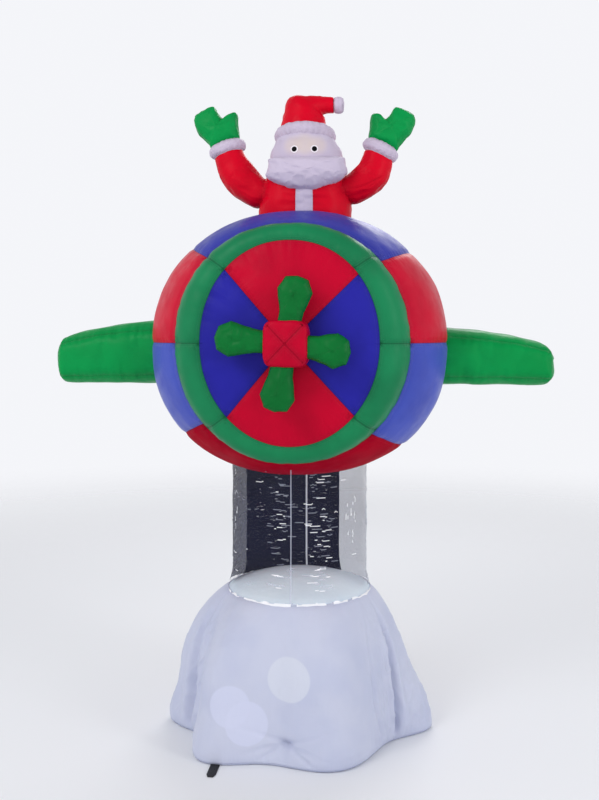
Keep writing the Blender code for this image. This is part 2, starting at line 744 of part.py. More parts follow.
def main():
    """Build every piece of the inflatable."""
    clear_scene()
    home = collection("inflatable")
    helpers = collection("clearances")
    red = material("red_nylon", (0.60, 0.004, 0.022), 0.42)
    blue = material("blue_nylon", (0.040, 0.045, 0.38), 0.42)
    green = material("green_nylon", (0.006, 0.27, 0.065), 0.42)
    white = material("white_nylon", (0.80, 0.80, 0.86), 0.48)
    skin = material("cream_nylon", (0.75, 0.66, 0.60), 0.5)
    clear = material("clear_vinyl", (0.62, 0.66, 0.74), 0.08, 0.9, 0.35)
    black = material("black_webbing", (0.01, 0.01, 0.012), 0.8)

    mound = build_mound(white, home)
    build_tab(mound, black, home, helpers)
    body = build_body(blue, home)
    build_tube(mound, body, clear, home, helpers)
    build_wing(-1.0, WING_LEFT_HEIGHT, body, green, home, helpers)
    build_wing(1.0, WING_RIGHT_HEIGHT, body, green, home, helpers)
    hub = build_hub(body, red, home, helpers)
    for name, angle, length in (
        ("blade_top", 80.0, BLADE_LENGTH),
        ("blade_left", 175.0, BLADE_LENGTH + 0.010),
        ("blade_right", -8.0, BLADE_SHORT_LENGTH),
        ("blade_bottom", -99.0, BLADE_LENGTH),
    ):
        build_blade(name, angle, length, hub, green, home, helpers)
    coat, coat_parts = build_coat(body, red, home, helpers)
    for label, side, arm, lean, hand_lean, sleeve in (
        ("left", -1.0, LEFT_ARM, LEFT_LEAN, LEFT_HAND_LEAN, coat_parts[1]),
        ("right", 1.0, RIGHT_ARM, RIGHT_LEAN, RIGHT_HAND_LEAN, coat_parts[2]),
    ):
        wrist = arm_points(side, arm)[-1]
        build_hand(label, side, wrist, lean, hand_lean, sleeve, (white, green), home, helpers)
    head = build_head(coat_parts, skin, home, helpers)
    build_beard(head, coat_parts, white, home, helpers)
    build_hat(head, (red, white), home, helpers)


main()
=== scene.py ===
"""Sewn nylon and clear vinyl pieces of an inflatable santa in an aeroplane on a snow mound."""

import logging
import math
from dataclasses import dataclass, field
from enum import Enum
from typing import Any, Callable, Optional, Sequence

import bpy
import numpy as np
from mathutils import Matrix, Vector
from mathutils.kdtree import KDTree


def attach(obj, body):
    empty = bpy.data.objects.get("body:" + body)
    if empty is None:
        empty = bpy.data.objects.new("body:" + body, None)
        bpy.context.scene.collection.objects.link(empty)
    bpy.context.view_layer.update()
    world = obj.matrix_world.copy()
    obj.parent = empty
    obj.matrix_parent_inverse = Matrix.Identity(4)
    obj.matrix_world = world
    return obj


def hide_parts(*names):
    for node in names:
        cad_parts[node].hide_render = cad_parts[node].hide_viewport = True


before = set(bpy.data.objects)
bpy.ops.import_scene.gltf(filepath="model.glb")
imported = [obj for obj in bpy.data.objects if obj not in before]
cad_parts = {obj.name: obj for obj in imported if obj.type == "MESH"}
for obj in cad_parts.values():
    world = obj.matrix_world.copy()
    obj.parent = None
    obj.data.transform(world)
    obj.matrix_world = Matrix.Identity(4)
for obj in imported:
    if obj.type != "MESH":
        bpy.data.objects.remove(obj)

logging.basicConfig(level=logging.INFO, format="%(message)s")
LOG = logging.getLogger("inflatable")

Array = np.ndarray
MILLI = 0.001
CIRCLE = 2.0 * math.pi
RIGHT, BACK, UP = np.eye(3)


def srgb(code: str) -> tuple[float, float, float, float]:
    """Turn a hex colour into the linear values that a shader takes.

    Args:
        code: The colour as #rrggbb.

    Returns:
        Linear red, green, blue and a full alpha.
    """
    shares = [int(code[at : at + 2], 16) / 255.0 for at in (1, 3, 5)]
    linear = [v / 12.92 if v <= 0.04045 else ((v + 0.055) / 1.055) ** 2.4 for v in shares]
    return (linear[0], linear[1], linear[2], 1.0)


def feed(tree: bpy.types.NodeTree, node: Any, inputs: dict) -> None:
    """Give a node's sockets their links or plain values.

    Args:
        tree: The tree that holds the node.
        node: The node.
        inputs: Socket name or index to a value, or to a socket to link from.
    """
    for key, value in inputs.items():
        if isinstance(value, bpy.types.NodeSocket):
            tree.links.new(value, node.inputs[key])
        else:
            node.inputs[key].default_value = value


def add_node(tree: bpy.types.NodeTree, kind: str, inputs: Optional[dict] = None, **settings: Any) -> Any:
    """Add one shader node with its settings, values and links.

    Args:
        tree: The node tree to add to.
        kind: The node's type, without its ShaderNode prefix.
        inputs: Socket name or index to a value or a socket.
        **settings: Properties of the node.

    Returns:
        The new node.
    """
    made = tree.nodes.new("ShaderNode" + kind)
    for key, value in settings.items():
        setattr(made, key, value)
    feed(tree, made, inputs or {})
    return made


class Shades:
    """Short names for the maths of one node tree."""

    def __init__(self, tree: bpy.types.NodeTree) -> None:
        """Keep the tree and its shared coordinates."""
        self.tree = tree
        self.place = add_node(tree, "TexCoord").outputs["Object"]

    def math(self, kind: str, a: Any, b: Any = 0.0, c: Any = 0.0) -> Any:
        """One arithmetic step on up to three values or sockets."""
        return add_node(self.tree, "Math", {0: a, 1: b, 2: c}, operation=kind).outputs[0]

    def times(self, a: Any, b: Any) -> Any:
        """The product of two values or sockets."""
        return self.math("MULTIPLY", a, b)

    def plus(self, a: Any, b: Any) -> Any:
        """The sum of two values or sockets."""
        return self.math("ADD", a, b)

    def noise(self, pitch_mm: float, detail: float = 3.0, stretch: Sequence[float] = (1, 1, 1)) -> Any:
        """Soft random patches, from 0 to 1.

        Args:
            pitch_mm: About how far apart the patches lie, in millimetres.
            detail: How many finer layers lie on them.
            stretch: How much denser they are along each axis.

        Returns:
            The height's socket.
        """
        place = add_node(self.tree, "Mapping", {"Vector": self.place, "Scale": tuple(stretch)}).outputs[0]
        values = {"Vector": place, "Scale": 1000.0 / pitch_mm, "Detail": detail, "Roughness": 0.55}
        return add_node(self.tree, "TexNoise", values).outputs["Fac"]

    def ramp(self, value: Any, low: float, high: float, start: float = 0.0, end: float = 1.0) -> Any:
        """A smooth step from start to end as a socket goes from low to high."""
        values = {"Value": value, 1: low, 2: high, 3: start, 4: end}
        return add_node(self.tree, "MapRange", values, interpolation_type="SMOOTHSTEP").outputs[0]

    def blend(self, share: Any, under: Any, over: Any) -> Any:
        """Lay a share of one colour over another."""
        return add_node(self.tree, "Mix", {0: share, 6: under, 7: over}, data_type="RGBA").outputs[2]


class Sheet(Shades):
    """The tree of one new material, with its shader."""

    def __init__(self, name: str) -> None:
        """Start the material under its name."""
        self.made = bpy.data.materials.new(name)
        self.made.use_nodes = True
        super().__init__(self.made.node_tree)

    def finish(self, height: Any, strength: float, inputs: dict) -> bpy.types.Material:
        """Set the relief and the shader's sockets.

        Args:
            height: The relief in millimetres.
            strength: How strongly it shades.
            inputs: The shader's other sockets.

        Returns:
            The finished material.
        """
        bump = add_node(self.tree, "Bump", {"Height": height, "Distance": MILLI, "Strength": strength})
        shader = self.tree.nodes["Principled BSDF"]
        feed(self.tree, shader, {"Normal": bump.outputs["Normal"], **inputs})
        return self.made


@dataclass(frozen=True)
class Spot:
    """A round patch printed on the front of a cloth.

    Attributes:
        x: Its centre across, in metres.
        z: Its centre's height, in metres.
        radius: Its radius in metres.
        colour: Its colour as hex.
        soft: The width of its edge in metres.
        share: How strongly it covers the cloth.
    """

    x: float
    z: float
    radius: float
    colour: str
    soft: float = 0.002
    share: float = 1.0

    def paint(self, s: Shades, under: Any) -> Any:
        """Lay the patch over a colour.

        Args:
            s: The tree's maths.
            under: The colour below it.

        Returns:
            The colour's socket.
        """
        parts = add_node(s.tree, "SeparateXYZ", {0: s.place}).outputs
        across = s.math("POWER", s.math("SUBTRACT", parts[0], self.x), 2.0)
        above = s.math("POWER", s.math("SUBTRACT", parts[2], self.z), 2.0)
        away = s.math("SQRT", s.plus(across, above))
        cover = s.ramp(away, self.radius - self.soft, self.radius + self.soft, self.share, 0.0)
        front = s.math("LESS_THAN", parts[1], 0.0)
        return s.blend(s.times(cover, front), under, srgb(self.colour))


@dataclass(frozen=True)
class Nylon:
    """Coated polyester taffeta: satin gloss, gathers along its seams and lock stitching.

    Attributes:
        name: The material's name.
        colour: The cloth's colour as hex.
        deep: The darker colour: in random patches, as painted shade beside the seams, and in the seams'
            grooves.
        thread: The stitching's colour.
        roughness: How matt the coating is.
        sheen: The weight of the soft sheen at grazing angles.
        gather_mm: The height of the gathers beside a seam.
        crinkle_mm: The height of the crinkles all over.
        seam_share: How strongly the deep colour fills the seam.
        specular: How strongly the coating mirrors.
        spots: Round patches printed on it.
        gather_pitch_mm: How far apart the gathers lie.
        gather_reach_mm: How far from the seam they die out.
        stitch_pitch_mm: The length of a stitch and its gap.
        stitch_rows_mm: How far from the seam the two rows of stitches lie.
        weave_scale: The scale of the weave, 0.6 mm a yarn: coarser than real taffeta so that it shows.
    """

    name: str
    colour: str
    deep: str
    thread: str
    roughness: float = 0.42
    sheen: float = 0.0
    gather_mm: float = 1.1
    crinkle_mm: float = 1.5
    seam_share: float = 0.35
    specular: float = 0.07
    spots: tuple[Spot, ...] = ()
    gather_pitch_mm: float = 13.0
    gather_reach_mm: float = 16.0
    stitch_pitch_mm: float = 3.6
    stitch_rows_mm: tuple[float, float] = (5.0, 11.0)
    weave_scale: float = 520.0

    def build(self) -> bpy.types.Material:
        """Make the material: a taut satin skin, puckered at its seams and darker there with painted shade.

        Returns:
            The finished material.
        """
        s = Sheet(self.name)
        seam = add_node(s.tree, "Attribute", attribute_name="seam").outputs["Fac"]
        run = add_node(s.tree, "Attribute", attribute_name="run").outputs["Fac"]
        # Gathers run square off the seam and fade out over a couple of centimetres.
        near = s.math("POWER", math.exp(-1.0 / self.gather_reach_mm), seam)
        values = {"W": run, "Scale": 1.0 / self.gather_pitch_mm, "Detail": 1.5}
        rows = add_node(s.tree, "TexNoise", values, noise_dimensions="1D").outputs["Fac"]
        gather = s.times(s.times(rows, near), 2.0 * self.gather_mm)
        # Soft crinkles at the size of a hand and finer ones at the size of a finger.
        broad = s.times(s.noise(75.0, 2.0), 1.3 * self.crinkle_mm)
        crinkle = s.plus(broad, s.times(s.noise(21.0, 3.0), 0.3 * self.crinkle_mm))
        # Plain weave of the yarn, seen only from close by.
        values = {"Vector": s.place, "Scale": self.weave_scale}
        yarns = [add_node(s.tree, "TexWave", values, bands_direction=axis) for axis in "XZ"]
        weave = s.times(s.plus(*(yarn.outputs["Fac"] for yarn in yarns)), 0.015)
        # The groove of the seam, and two rows of lock stitches beside it.
        groove = s.ramp(seam, 0.0, 3.0, 1.0, 0.0)
        dash = s.math("LESS_THAN", s.math("FRACT", s.math("DIVIDE", run, self.stitch_pitch_mm)), 0.68)
        row = s.plus(*(s.math("COMPARE", seam, place, 0.42) for place in self.stitch_rows_mm))
        stitch = s.times(row, dash)
        height = s.plus(s.plus(gather, crinkle), s.plus(weave, s.times(stitch, 0.2)))
        # Painted shade: the colour deepens beside the seam, where its valley would be shaded; broad random
        # patches vary the dye's tone.
        patch = s.ramp(s.noise(160.0, 2.0), 0.35, 0.75, 0.0, 0.28)
        painted_seam_shade = s.times(s.math("POWER", math.exp(-1.0 / 9.0), seam), 0.34)
        share = s.math("MAXIMUM", s.plus(patch, painted_seam_shade), s.times(groove, self.seam_share))
        colour = s.blend(share, srgb(self.colour), srgb(self.deep))
        colour = s.blend(s.times(stitch, 0.35), colour, srgb(self.thread))
        for spot in self.spots:
            colour = spot.paint(s, colour)
        s.made.diffuse_color = srgb(self.colour)
        inputs = {
            "Base Color": colour,
            "Roughness": s.ramp(s.noise(48.0, 2.0), 0.3, 0.7, self.roughness - 0.05, self.roughness + 0.07),
            "Sheen Weight": self.sheen,
            "Sheen Roughness": 0.35,
            "Specular IOR Level": self.specular,
        }
        return s.finish(s.math("SUBTRACT", height, groove), 0.9, inputs)


@dataclass(frozen=True)
class Vinyl:
    """Thin clear film: glossy, with its tint as plain values, and white streaks in patches that are partly
    stress-whitening and partly painted glints.

    Attributes:
        name: The material's name.
        colour: The film's tint as hex.
        alpha: How much of what is behind it the film hides.
        roughness: How clear its gloss is.
        specular: How strongly it mirrors.
    """

    name: str
    colour: str
    alpha: float
    roughness: float = 0.09
    specular: float = 0.30

    def build(self) -> bpy.types.Material:
        """Make the material: short level creases in patches of a glossy film, with white streaks that are
        partly scuffs and partly painted glints.

        Returns:
            The finished material.
        """
        s = Sheet(self.name)
        patches = s.ramp(s.noise(70.0, 1.0), 0.40, 0.62)
        creases = s.times(s.noise(24.0, 2.0, (1.0, 1.0, 5.0)), patches)
        # Painted glints: white streaks, partly stress-whitening, laid in the same patches as the creases.
        glint_and_scuff = s.times(s.ramp(s.noise(34.0, 3.0, (1.0, 1.0, 9.0)), 0.66, 0.74), patches)
        s.made.diffuse_color = srgb(self.colour)
        inputs = {
            "Base Color": s.blend(glint_and_scuff, srgb(self.colour), srgb("#f2f4fb")),
            "Roughness": s.ramp(s.noise(30.0, 2.0), 0.3, 0.7, self.roughness - 0.03, self.roughness + 0.05),
            "Alpha": self.alpha,
            "IOR": 1.53,
            "Specular IOR Level": self.specular,
        }
        return s.finish(s.times(creases, 2.2), 0.9, inputs)


@dataclass(frozen=True)
class Webbing:
    """Woven polyester strap: dull black diagonal ribs with dust between them."""

    name: str = "black_webbing"
    colour: str = "#15151a"
    rib: str = "#2c2c33"

    def build(self) -> bpy.types.Material:
        """Make the material: a ribbed twill that takes no shine.

        Returns:
            The finished material.
        """
        s = Sheet(self.name)
        values = {"Vector": s.place, "Scale": 150.0, "Distortion": 0.4}
        ribs = add_node(s.tree, "TexWave", values, bands_direction="DIAGONAL").outputs["Fac"]
        share = s.times(ribs, s.ramp(s.noise(14.0, 3.0), 0.3, 0.7, 0.4, 1.0))
        colour = s.blend(share, srgb(self.colour), srgb(self.rib))
        return s.finish(s.times(ribs, 0.5), 0.9, {"Base Color": colour, "Roughness": 0.72})


@dataclass(frozen=True)
class Sweep:
    """The matt paper sweep that the object stands on, which fades out into the room.

    Attributes:
        name: The material's name.
        colour: Its colour as hex.
        roughness: How matt it is.
        fade: Where it starts to fade and where it ends, in metres from the object.
    """

    name: str
    colour: str
    roughness: float = 0.65
    fade: tuple[float, float] = (1.6, 7.5)

    def build(self) -> bpy.types.Material:
        """Make the material: a faint paper grain that softens the object's shadow.

        Returns:
            The finished material.
        """
        s = Sheet(self.name)
        away = add_node(s.tree, "VectorMath", {0: s.place}, operation="LENGTH").outputs["Value"]
        alpha = s.ramp(away, *self.fade, 1.0, 0.0)
        inputs = {"Alpha": alpha, "Base Color": srgb(self.colour), "Roughness": self.roughness}
        return s.finish(s.times(s.noise(60.0, 3.0), 0.25), 0.3, inputs)


class Cloth(Enum):
    """The sewn and welded materials, each with its finish."""

    RED = Nylon("red_nylon", "#d20022", "#9c0018", "#ea2040")
    DISC_RED = Nylon("disc_red_nylon", "#c0002a", "#84001d", "#dc3450", seam_share=0.8)
    DISC_BLUE = Nylon("disc_blue_nylon", "#27259a", "#15165c", "#4c4cbc", seam_share=0.8)
    RING_GREEN = Nylon("ring_green_nylon", "#168050", "#0c4a2e", "#3fa070", specular=0.12, seam_share=0.8)
    BARREL_RED = Nylon(
        "barrel_red_nylon", "#c6002c", "#86001e", "#dc3450", 0.38, 0.03, specular=0.10, seam_share=0.8
    )
    # Painted shade: a darker copy of the barrel red for the underside, which faces away from the light.
    BELLY_RED = Nylon("shaded_belly_red_nylon", "#a60020", "#700018", "#dc3450", 0.6, specular=0.02, seam_share=0.8)
    # Painted light: a paler copy of the disc's blue for the barrel's top, which faces the light.
    BARREL_BLUE = Nylon(
        "lit_barrel_blue_nylon", "#383ea2", "#202478", "#6a70cc", 0.40, 0.03, specular=0.08, seam_share=0.8
    )
    # Painted light: a paler copy again for the flanks, standing in for sheen and light through the cloth at
    # the barrel's sides.
    FLANK_BLUE = Nylon(
        "lit_flank_blue_nylon", "#4252b4", "#242a86", "#7a84d4", 0.38, 0.09, specular=0.12, seam_share=0.8
    )
    GREEN = Nylon("green_nylon", "#009448", "#006a2c", "#2cb86c", specular=0.10)
    BLADE_GREEN = Nylon("blade_green_nylon", "#006c2c", "#004418", "#1f9c54", crinkle_mm=2.6, specular=0.12)
    WHITE = Nylon("white_nylon", "#c6bbcf", "#a398b0", "#dcd4e4", 0.5)
    SNOW = Nylon(
        "snow_nylon",
        "#c7cbde",
        "#aab2d2",
        "#dfe3f1",
        0.5,
        crinkle_mm=2.0,
        seam_share=0.3,
        spots=(
            Spot(-0.006, 0.296, 0.075, "#d3d7e4", 0.004, 0.8),
            Spot(-0.213, 0.197, 0.071, "#d0d4ea", 0.004, 0.8),
            Spot(-0.153, 0.141, 0.075, "#d0d4ea", 0.004, 0.8),
        ),
    )
    # Painted light: a brighter copy of the snow cloth for the crown inside the tube, lifting it out of the
    # aeroplane's shade.
    SNOW_CROWN = Nylon(
        "lit_snow_crown_nylon", "#e8f6ff", "#cee0f4", "#f6faff", 0.5, crinkle_mm=2.0, seam_share=0.3
    )
    FUR = Nylon("trim_nylon", "#c8bbcf", "#a195aa", "#e2d9e7", 0.55, 0.05, gather_mm=1.8, crinkle_mm=2.2)
    FACE = Nylon(
        "face_nylon",
        "#c6bbcf",
        "#a398b0",
        "#dcd4e4",
        0.5,
        crinkle_mm=1.2,
        spots=(
            Spot(-0.016, 2.192, 0.030, "#cebebb", 0.016, 0.7),
            Spot(0.078, 2.192, 0.030, "#cebebb", 0.016, 0.7),
            Spot(0.030, 2.194, 0.036, "#cfbfb8", 0.018, 0.7),
            Spot(-0.009, 2.178, 0.0136, "#eae4ea", 0.001),
            Spot(0.066, 2.178, 0.0136, "#eae4ea", 0.001),
            Spot(-0.009, 2.178, 0.0098, "#08080c", 0.001),
            Spot(0.066, 2.178, 0.0098, "#08080c", 0.001),
        ),
    )
    FILM = Vinyl("clear_vinyl", "#5e6486", 0.05)
    # Painted shade: a near-opaque dark film for the tube's rear and a grey one at its left stand in for a
    # dark room seen through the clear vinyl; a pale one at its right is a painted reflection.
    SMOKE_FILM = Vinyl("painted_dark_vinyl", "#080a2c", 0.985, 0.3, 0.03)
    SIDE_FILM = Vinyl("painted_grey_vinyl_side", "#242a4c", 0.87, 0.25, 0.15)
    PALE_FILM = Vinyl("painted_pale_vinyl_side", "#76809c", 0.50, 0.14)
    WELD = Vinyl("vinyl_weld", "#c4c9dc", 0.70, 0.2)
    # Painted glints: bright and soft white streaks laid on the tube's creases.
    CREASE = Vinyl("vinyl_painted_glint", "#fbfcff", 0.90, 0.2)
    SOFT_CREASE = Vinyl("vinyl_soft_painted_glint", "#ccd2e6", 0.34, 0.2)
    STRAP = Webbing()


FINISHES: dict[Cloth, bpy.types.Material] = {}


def finish_of(cloth: Cloth) -> bpy.types.Material:
    """The material of a cloth, made once.

    Args:
        cloth: The cloth wanted.

    Returns:
        Its material.
    """
    if cloth not in FINISHES:
        FINISHES[cloth] = cloth.value.build()
    return FINISHES[cloth]


@dataclass(frozen=True)
class Ripple:
    """A smooth random height over space, about -1 to 1.

    Attributes:
        size: Its wavelength in metres, one value or one for each axis.
        seed: Which pattern it is.
        waves: How many plain waves it adds up.
    """

    size: Any
    seed: int
    waves: int = 26

    def at(self, points: Array) -> Array:
        """The height at some points.

        Args:
            points: Points in metres, with x, y and z last.

        Returns:
            One height for each point.
        """
        random = np.random.default_rng(self.seed)
        total = np.zeros(points.shape[:-1])
        for _ in range(self.waves):
            heading = random.normal(size=3)
            heading /= np.linalg.norm(heading)
            wave = CIRCLE * heading / np.asarray(self.size) * random.uniform(0.6, 1.5)
            total += np.cos(points @ wave + random.uniform(0.0, CIRCLE))
        return 0.5 * total / math.sqrt(0.5 * self.waves)


def gathers(run: Array, pitch: float, seed: int) -> Array:
    """Uneven folds along a seam.

    Args:
        run: The place along the seam in metres.
        pitch: About how far apart the folds lie.
        seed: Which pattern it is.

    Returns:
        A height of about -1 to 1 for each place.
    """
    random = np.random.default_rng(seed)
    total = np.zeros(run.shape)
    for _ in range(9):
        turn = CIRCLE / (pitch * random.uniform(0.75, 1.9))
        total += np.cos(run * turn + random.uniform(0.0, CIRCLE))
    return 0.5 * total / math.sqrt(4.5)


def bell(away: Any, wide: Any) -> Any:
    """A bump of height 1 that falls off over a width."""
    return np.exp(-((away / wide) ** 2))


def from_heading(angle: Any, heading: Any) -> Any:
    """How far angles lie from a heading, from -180 to 180 degrees."""
    return (angle - heading + 180.0) % 360.0 - 180.0


@dataclass(frozen=True)
class Air:
    """The blower's air: a short cloth simulation that fills a sewn piece.

    Attributes:
        slack: How much larger the cloth is cut than its shape, as a share.
        cap: The furthest that a point may move, in metres.
        pressure: How hard the air pushes.
        sewn: How near a seam a point is held, in millimetres.
        steps: How many frames the cloth settles for.
    """

    slack: float = 0.018
    cap: float = 0.006
    pressure: float = 4.0
    sewn: float = 1.5
    steps: int = 10

    def fill(self, piece: bpy.types.Object) -> None:
        """Fill a piece and keep the settled shape as its mesh.

        Args:
            piece: The piece, with its distance to the nearest seam as an attribute.
        """
        mesh = piece.data
        count = len(mesh.vertices)
        before = np.empty(3 * count, np.float32)
        mesh.vertices.foreach_get("co", before)
        seam = np.empty(count, np.float32)
        mesh.attributes["seam"].data.foreach_get("value", seam)
        held = piece.vertex_groups.new(name="sewn")
        held.add(np.flatnonzero(seam < self.sewn).tolist(), 1.0, "REPLACE")
        cloth = piece.modifiers.new("air", "CLOTH")
        values = cloth.settings
        values.quality = 3
        values.mass = 0.2
        values.tension_stiffness = 12.0
        values.compression_stiffness = 12.0
        values.shear_stiffness = 4.0
        values.bending_stiffness = 0.08
        values.air_damping = 3.0
        values.use_pressure = True
        values.uniform_pressure_force = self.pressure
        values.shrink_min = -self.slack
        values.vertex_group_mass = held.name
        values.effector_weights.gravity = 0.0
        cloth.collision_settings.use_collision = False
        cloth.point_cache.frame_end = self.steps
        scene = bpy.context.scene
        for step in range(1, self.steps + 1):
            scene.frame_set(step)
        solved = piece.evaluated_get(bpy.context.evaluated_depsgraph_get())
        after = np.empty(3 * count, np.float32)
        solved.to_mesh().vertices.foreach_get("co", after)
        solved.to_mesh_clear()
        move = (after - before).reshape(-1, 3)
        size = np.linalg.norm(move, axis=1, keepdims=True)
        move *= self.cap * np.tanh(size / self.cap) / np.maximum(size, 1e-9)
        piece.modifiers.remove(cloth)
        piece.vertex_groups.remove(held)
        mesh.vertices.foreach_set("co", before + move.reshape(-1))
        mesh.update()
        scene.frame_set(1)
        far = 1000.0 * float(np.linalg.norm(move, axis=1).max())
        LOG.info("%s: filled with air, up to %.1f mm", piece.name, far)


@dataclass
class Skin:
    """A sewn skin: rows and columns of points that can swell, crease and pucker before it is made.

    Attributes:
        points: Rows by columns by 3, in metres, closed round its columns.
        start: The point that closes the first row, if any.
        end: The point that closes the last row, if any.
        seams: The lines it is sewn along, each a row of points.
        panels: Which finish each face takes, rows less one by columns.
        seam: Each point's distance to the nearest seam, in metres.
        run: Each point's place along that seam, in metres.
    """

    points: Array
    start: Optional[Array] = None
    end: Optional[Array] = None
    seams: list[Array] = field(default_factory=list)
    panels: Optional[Array] = None
    seam: Array = field(default_factory=lambda: np.zeros(0))
    run: Array = field(default_factory=lambda: np.zeros(0))

    def turned_out(self) -> tuple[Array, bool]:
        """Normals that point outwards.

        Returns:
            The normals, and whether they had to be turned round.
        """
        across = np.roll(self.points, -1, axis=1) - np.roll(self.points, 1, axis=1)
        out = np.cross(across, np.gradient(self.points, axis=0))
        out /= np.maximum(np.linalg.norm(out, axis=2, keepdims=True), 1e-12)
        middle = self.points.reshape(-1, 3).mean(axis=0)
        flip = bool((out * (self.points - middle)).sum() < 0.0)
        return (-out if flip else out), flip

    def sew_rows(self, *rows: int) -> None:
        """Sew all round some rows."""
        self.seams.extend(np.vstack([self.points[row], self.points[row, :1]]) for row in rows)

    def sew_angles(self, angles: Sequence[float], first: int = 0, last: Optional[int] = None) -> None:
        """Sew down the columns at some angles.

        Args:
            angles: The angles in degrees.
            first: The row that the seams start at.
            last: The row that they stop at, or none for the last.
        """
        stop = len(self.points) if last is None else last + 1
        for angle in angles:
            column = int(angle * self.points.shape[1] / 360.0)
            self.seams.append(self.points[first:stop, column].copy())

    def measure(self) -> None:
        """Work out every point's distance to the nearest seam and its place along it."""
        spots = []
        runs = []
        passed = 0.0
        for line in self.seams:
            place = np.concatenate([[0.0], np.cumsum(np.linalg.norm(np.diff(line, axis=0), axis=1))])
            even = np.linspace(0.0, place[-1], max(2, int(place[-1] / 0.002)))
            spots.append(np.stack([np.interp(even, place, line[:, axis]) for axis in range(3)], axis=1))
            runs.append(even + passed)
            passed += place[-1] + 0.31
        if not spots:
            self.seam = np.full(self.points.shape[:2], 1.0)
            self.run = np.zeros(self.points.shape[:2])
            return
        spot = np.vstack(spots)
        run = np.concatenate(runs)
        tree = KDTree(len(spot))
        for index, point in enumerate(spot):
            tree.insert(point, index)
        tree.balance()
        found = [tree.find(point)[1:] for point in self.points.reshape(-1, 3)]
        self.seam = np.array([away for _, away in found]).reshape(self.points.shape[:2])
        self.run = run[np.array([index for index, _ in found])].reshape(self.points.shape[:2])
        self.seam[self.seam < 0.0012] = 0.0

    def push(self, height: Array) -> None:
        """Move every point out along its normal.

        Args:
            height: How far each point moves, in metres.
        """
        move = self.turned_out()[0] * height[..., None]
        self.points = self.points + move
        if self.start is not None:
            self.start = self.start + move[0].mean(axis=0)
        if self.end is not None:
            self.end = self.end + move[-1].mean(axis=0)

    def puff(self, crown: float, valley: float, pitch: float, depth: float, reach: float, seed: int) -> None:
        """Swell the panels between the seams, sink the seams and gather the cloth beside them.

        Args:
            crown: How far a panel swells, in metres.
            valley: How far a seam sinks.
            pitch: How far apart the gathers lie.
            depth: How high the gathers are.
            reach: How far from the seam they die out.
            seed: Which pattern of gathers it is.
        """
        self.measure()
        swell = crown * (1.0 - np.exp(-self.seam / 0.05)) - valley * bell(self.seam, 0.011)
        fold = gathers(self.run, pitch, seed) * np.exp(-self.seam / reach)
        fold *= np.minimum(1.0, 0.25 + self.seam / 0.008)
        far = gathers(self.run + 7.7, 2.3 * pitch, seed + 50) * np.exp(-self.seam / (2.6 * reach))
        self.push(swell + depth * (fold + 0.8 * far))

    def ripple(self, height: float, size: Any, seed: int) -> None:
        """Make the skin uneven all over by a height in metres."""
        self.push(height * Ripple(size, seed).at(self.points))

    def build(self, name: str, cloths: Sequence[Cloth], fill: Optional[float]) -> bpy.types.Object:
        """Make the object.

        Args:
            name: The object's name.
            cloths: The cloths that its panels number.
            fill: How tight the piece is stuffed, or none if it isn't. Not used.

        Returns:
            The new object.
        """
        rows, columns = self.points.shape[:2]
        if self.seam.size == 0:
            self.measure()
        _, flip = self.turned_out()
        points = self.points.reshape(-1, 3).tolist()
        index = np.arange(rows * columns).reshape(rows, columns)
        after = np.roll(index, -1, axis=1)
        faces = np.stack([index[:-1], after[:-1], after[1:], index[1:]], axis=2).reshape(-1, 4).tolist()
        panels = np.zeros((rows - 1, columns), int) if self.panels is None else self.panels
        marks = panels.reshape(-1).tolist()
        seam = self.seam.reshape(-1).tolist()
        run = self.run.reshape(-1).tolist()
        for pole, row, turned in ((self.start, 0, True), (self.end, rows - 1, False)):
            if pole is None:
                continue
            top = len(points)
            points.append(pole.tolist())
            seam.append(float(self.seam[row].mean()))
            run.append(float(self.run[row].mean()))
            for a, b in zip(index[row].tolist(), after[row].tolist()):
                faces.append([b, a, top] if turned else [a, b, top])
            marks.extend(panels[0 if turned else rows - 2].tolist())
        if flip:
            faces = [face[::-1] for face in faces]
        mesh = bpy.data.meshes.new(name)
        mesh.from_pydata(points, [], faces)
        for cloth in cloths:
            mesh.materials.append(finish_of(cloth))
        mesh.polygons.foreach_set("material_index", marks)
        mesh.polygons.foreach_set("use_smooth", [True] * len(faces))
        for label, values in (("seam", seam), ("run", run)):
            layer = mesh.attributes.new(label, "FLOAT", "POINT")
            layer.data.foreach_set("value", [1000.0 * value for value in values])
        mesh.update()
        made = bpy.data.objects.new(name, mesh)
        bpy.context.scene.collection.objects.link(made)
        return made

    def dress(
        self,
        name: str,
        slot: str,
        cloths: Sequence[Cloth],
        *nodes: str,
        fill: Optional[float] = 0.9,
        air: Optional[Air] = None,
    ) -> None:
        """Make the piece and hand it over: what it stands for and the body it moves with.

        Args:
            name: The piece's name.
            slot: The record's material slot. Not used.
            cloths: The cloths that its panels number.
            *nodes: The CAD nodes that it stands for.
            fill: How tight the piece is stuffed, or none if it isn't.
            air: The air that fills it, if it is simulated.
        """
        piece = self.build(name, cloths, fill)
        if air is not None:
            air.fill(piece)
        if nodes:
            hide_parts(*nodes)
        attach(piece, "root")
        LOG.info("%s: %d faces", piece.name, len(piece.data.polygons))


def ring(centre: Array, across: Array, up: Array, half: Sequence[float], power: Any, turn: Array) -> Array:
    """One ring of points round a centre.

    Args:
        centre: Its middle.
        across: The direction of its first half width.
        up: The direction of its second half width.
        half: Its two half widths in metres.
        power: How square it is, one value or one for each point.
        turn: The angles of its points in radians.

    Returns:
        The points.
    """
    size = (np.abs(np.cos(turn)) ** power + np.abs(np.sin(turn)) ** power) ** (-1.0 / power)
    wide = half[0] * np.cos(turn) * size
    high = half[1] * np.sin(turn) * size
    return centre + wide[:, None] * across + high[:, None] * up


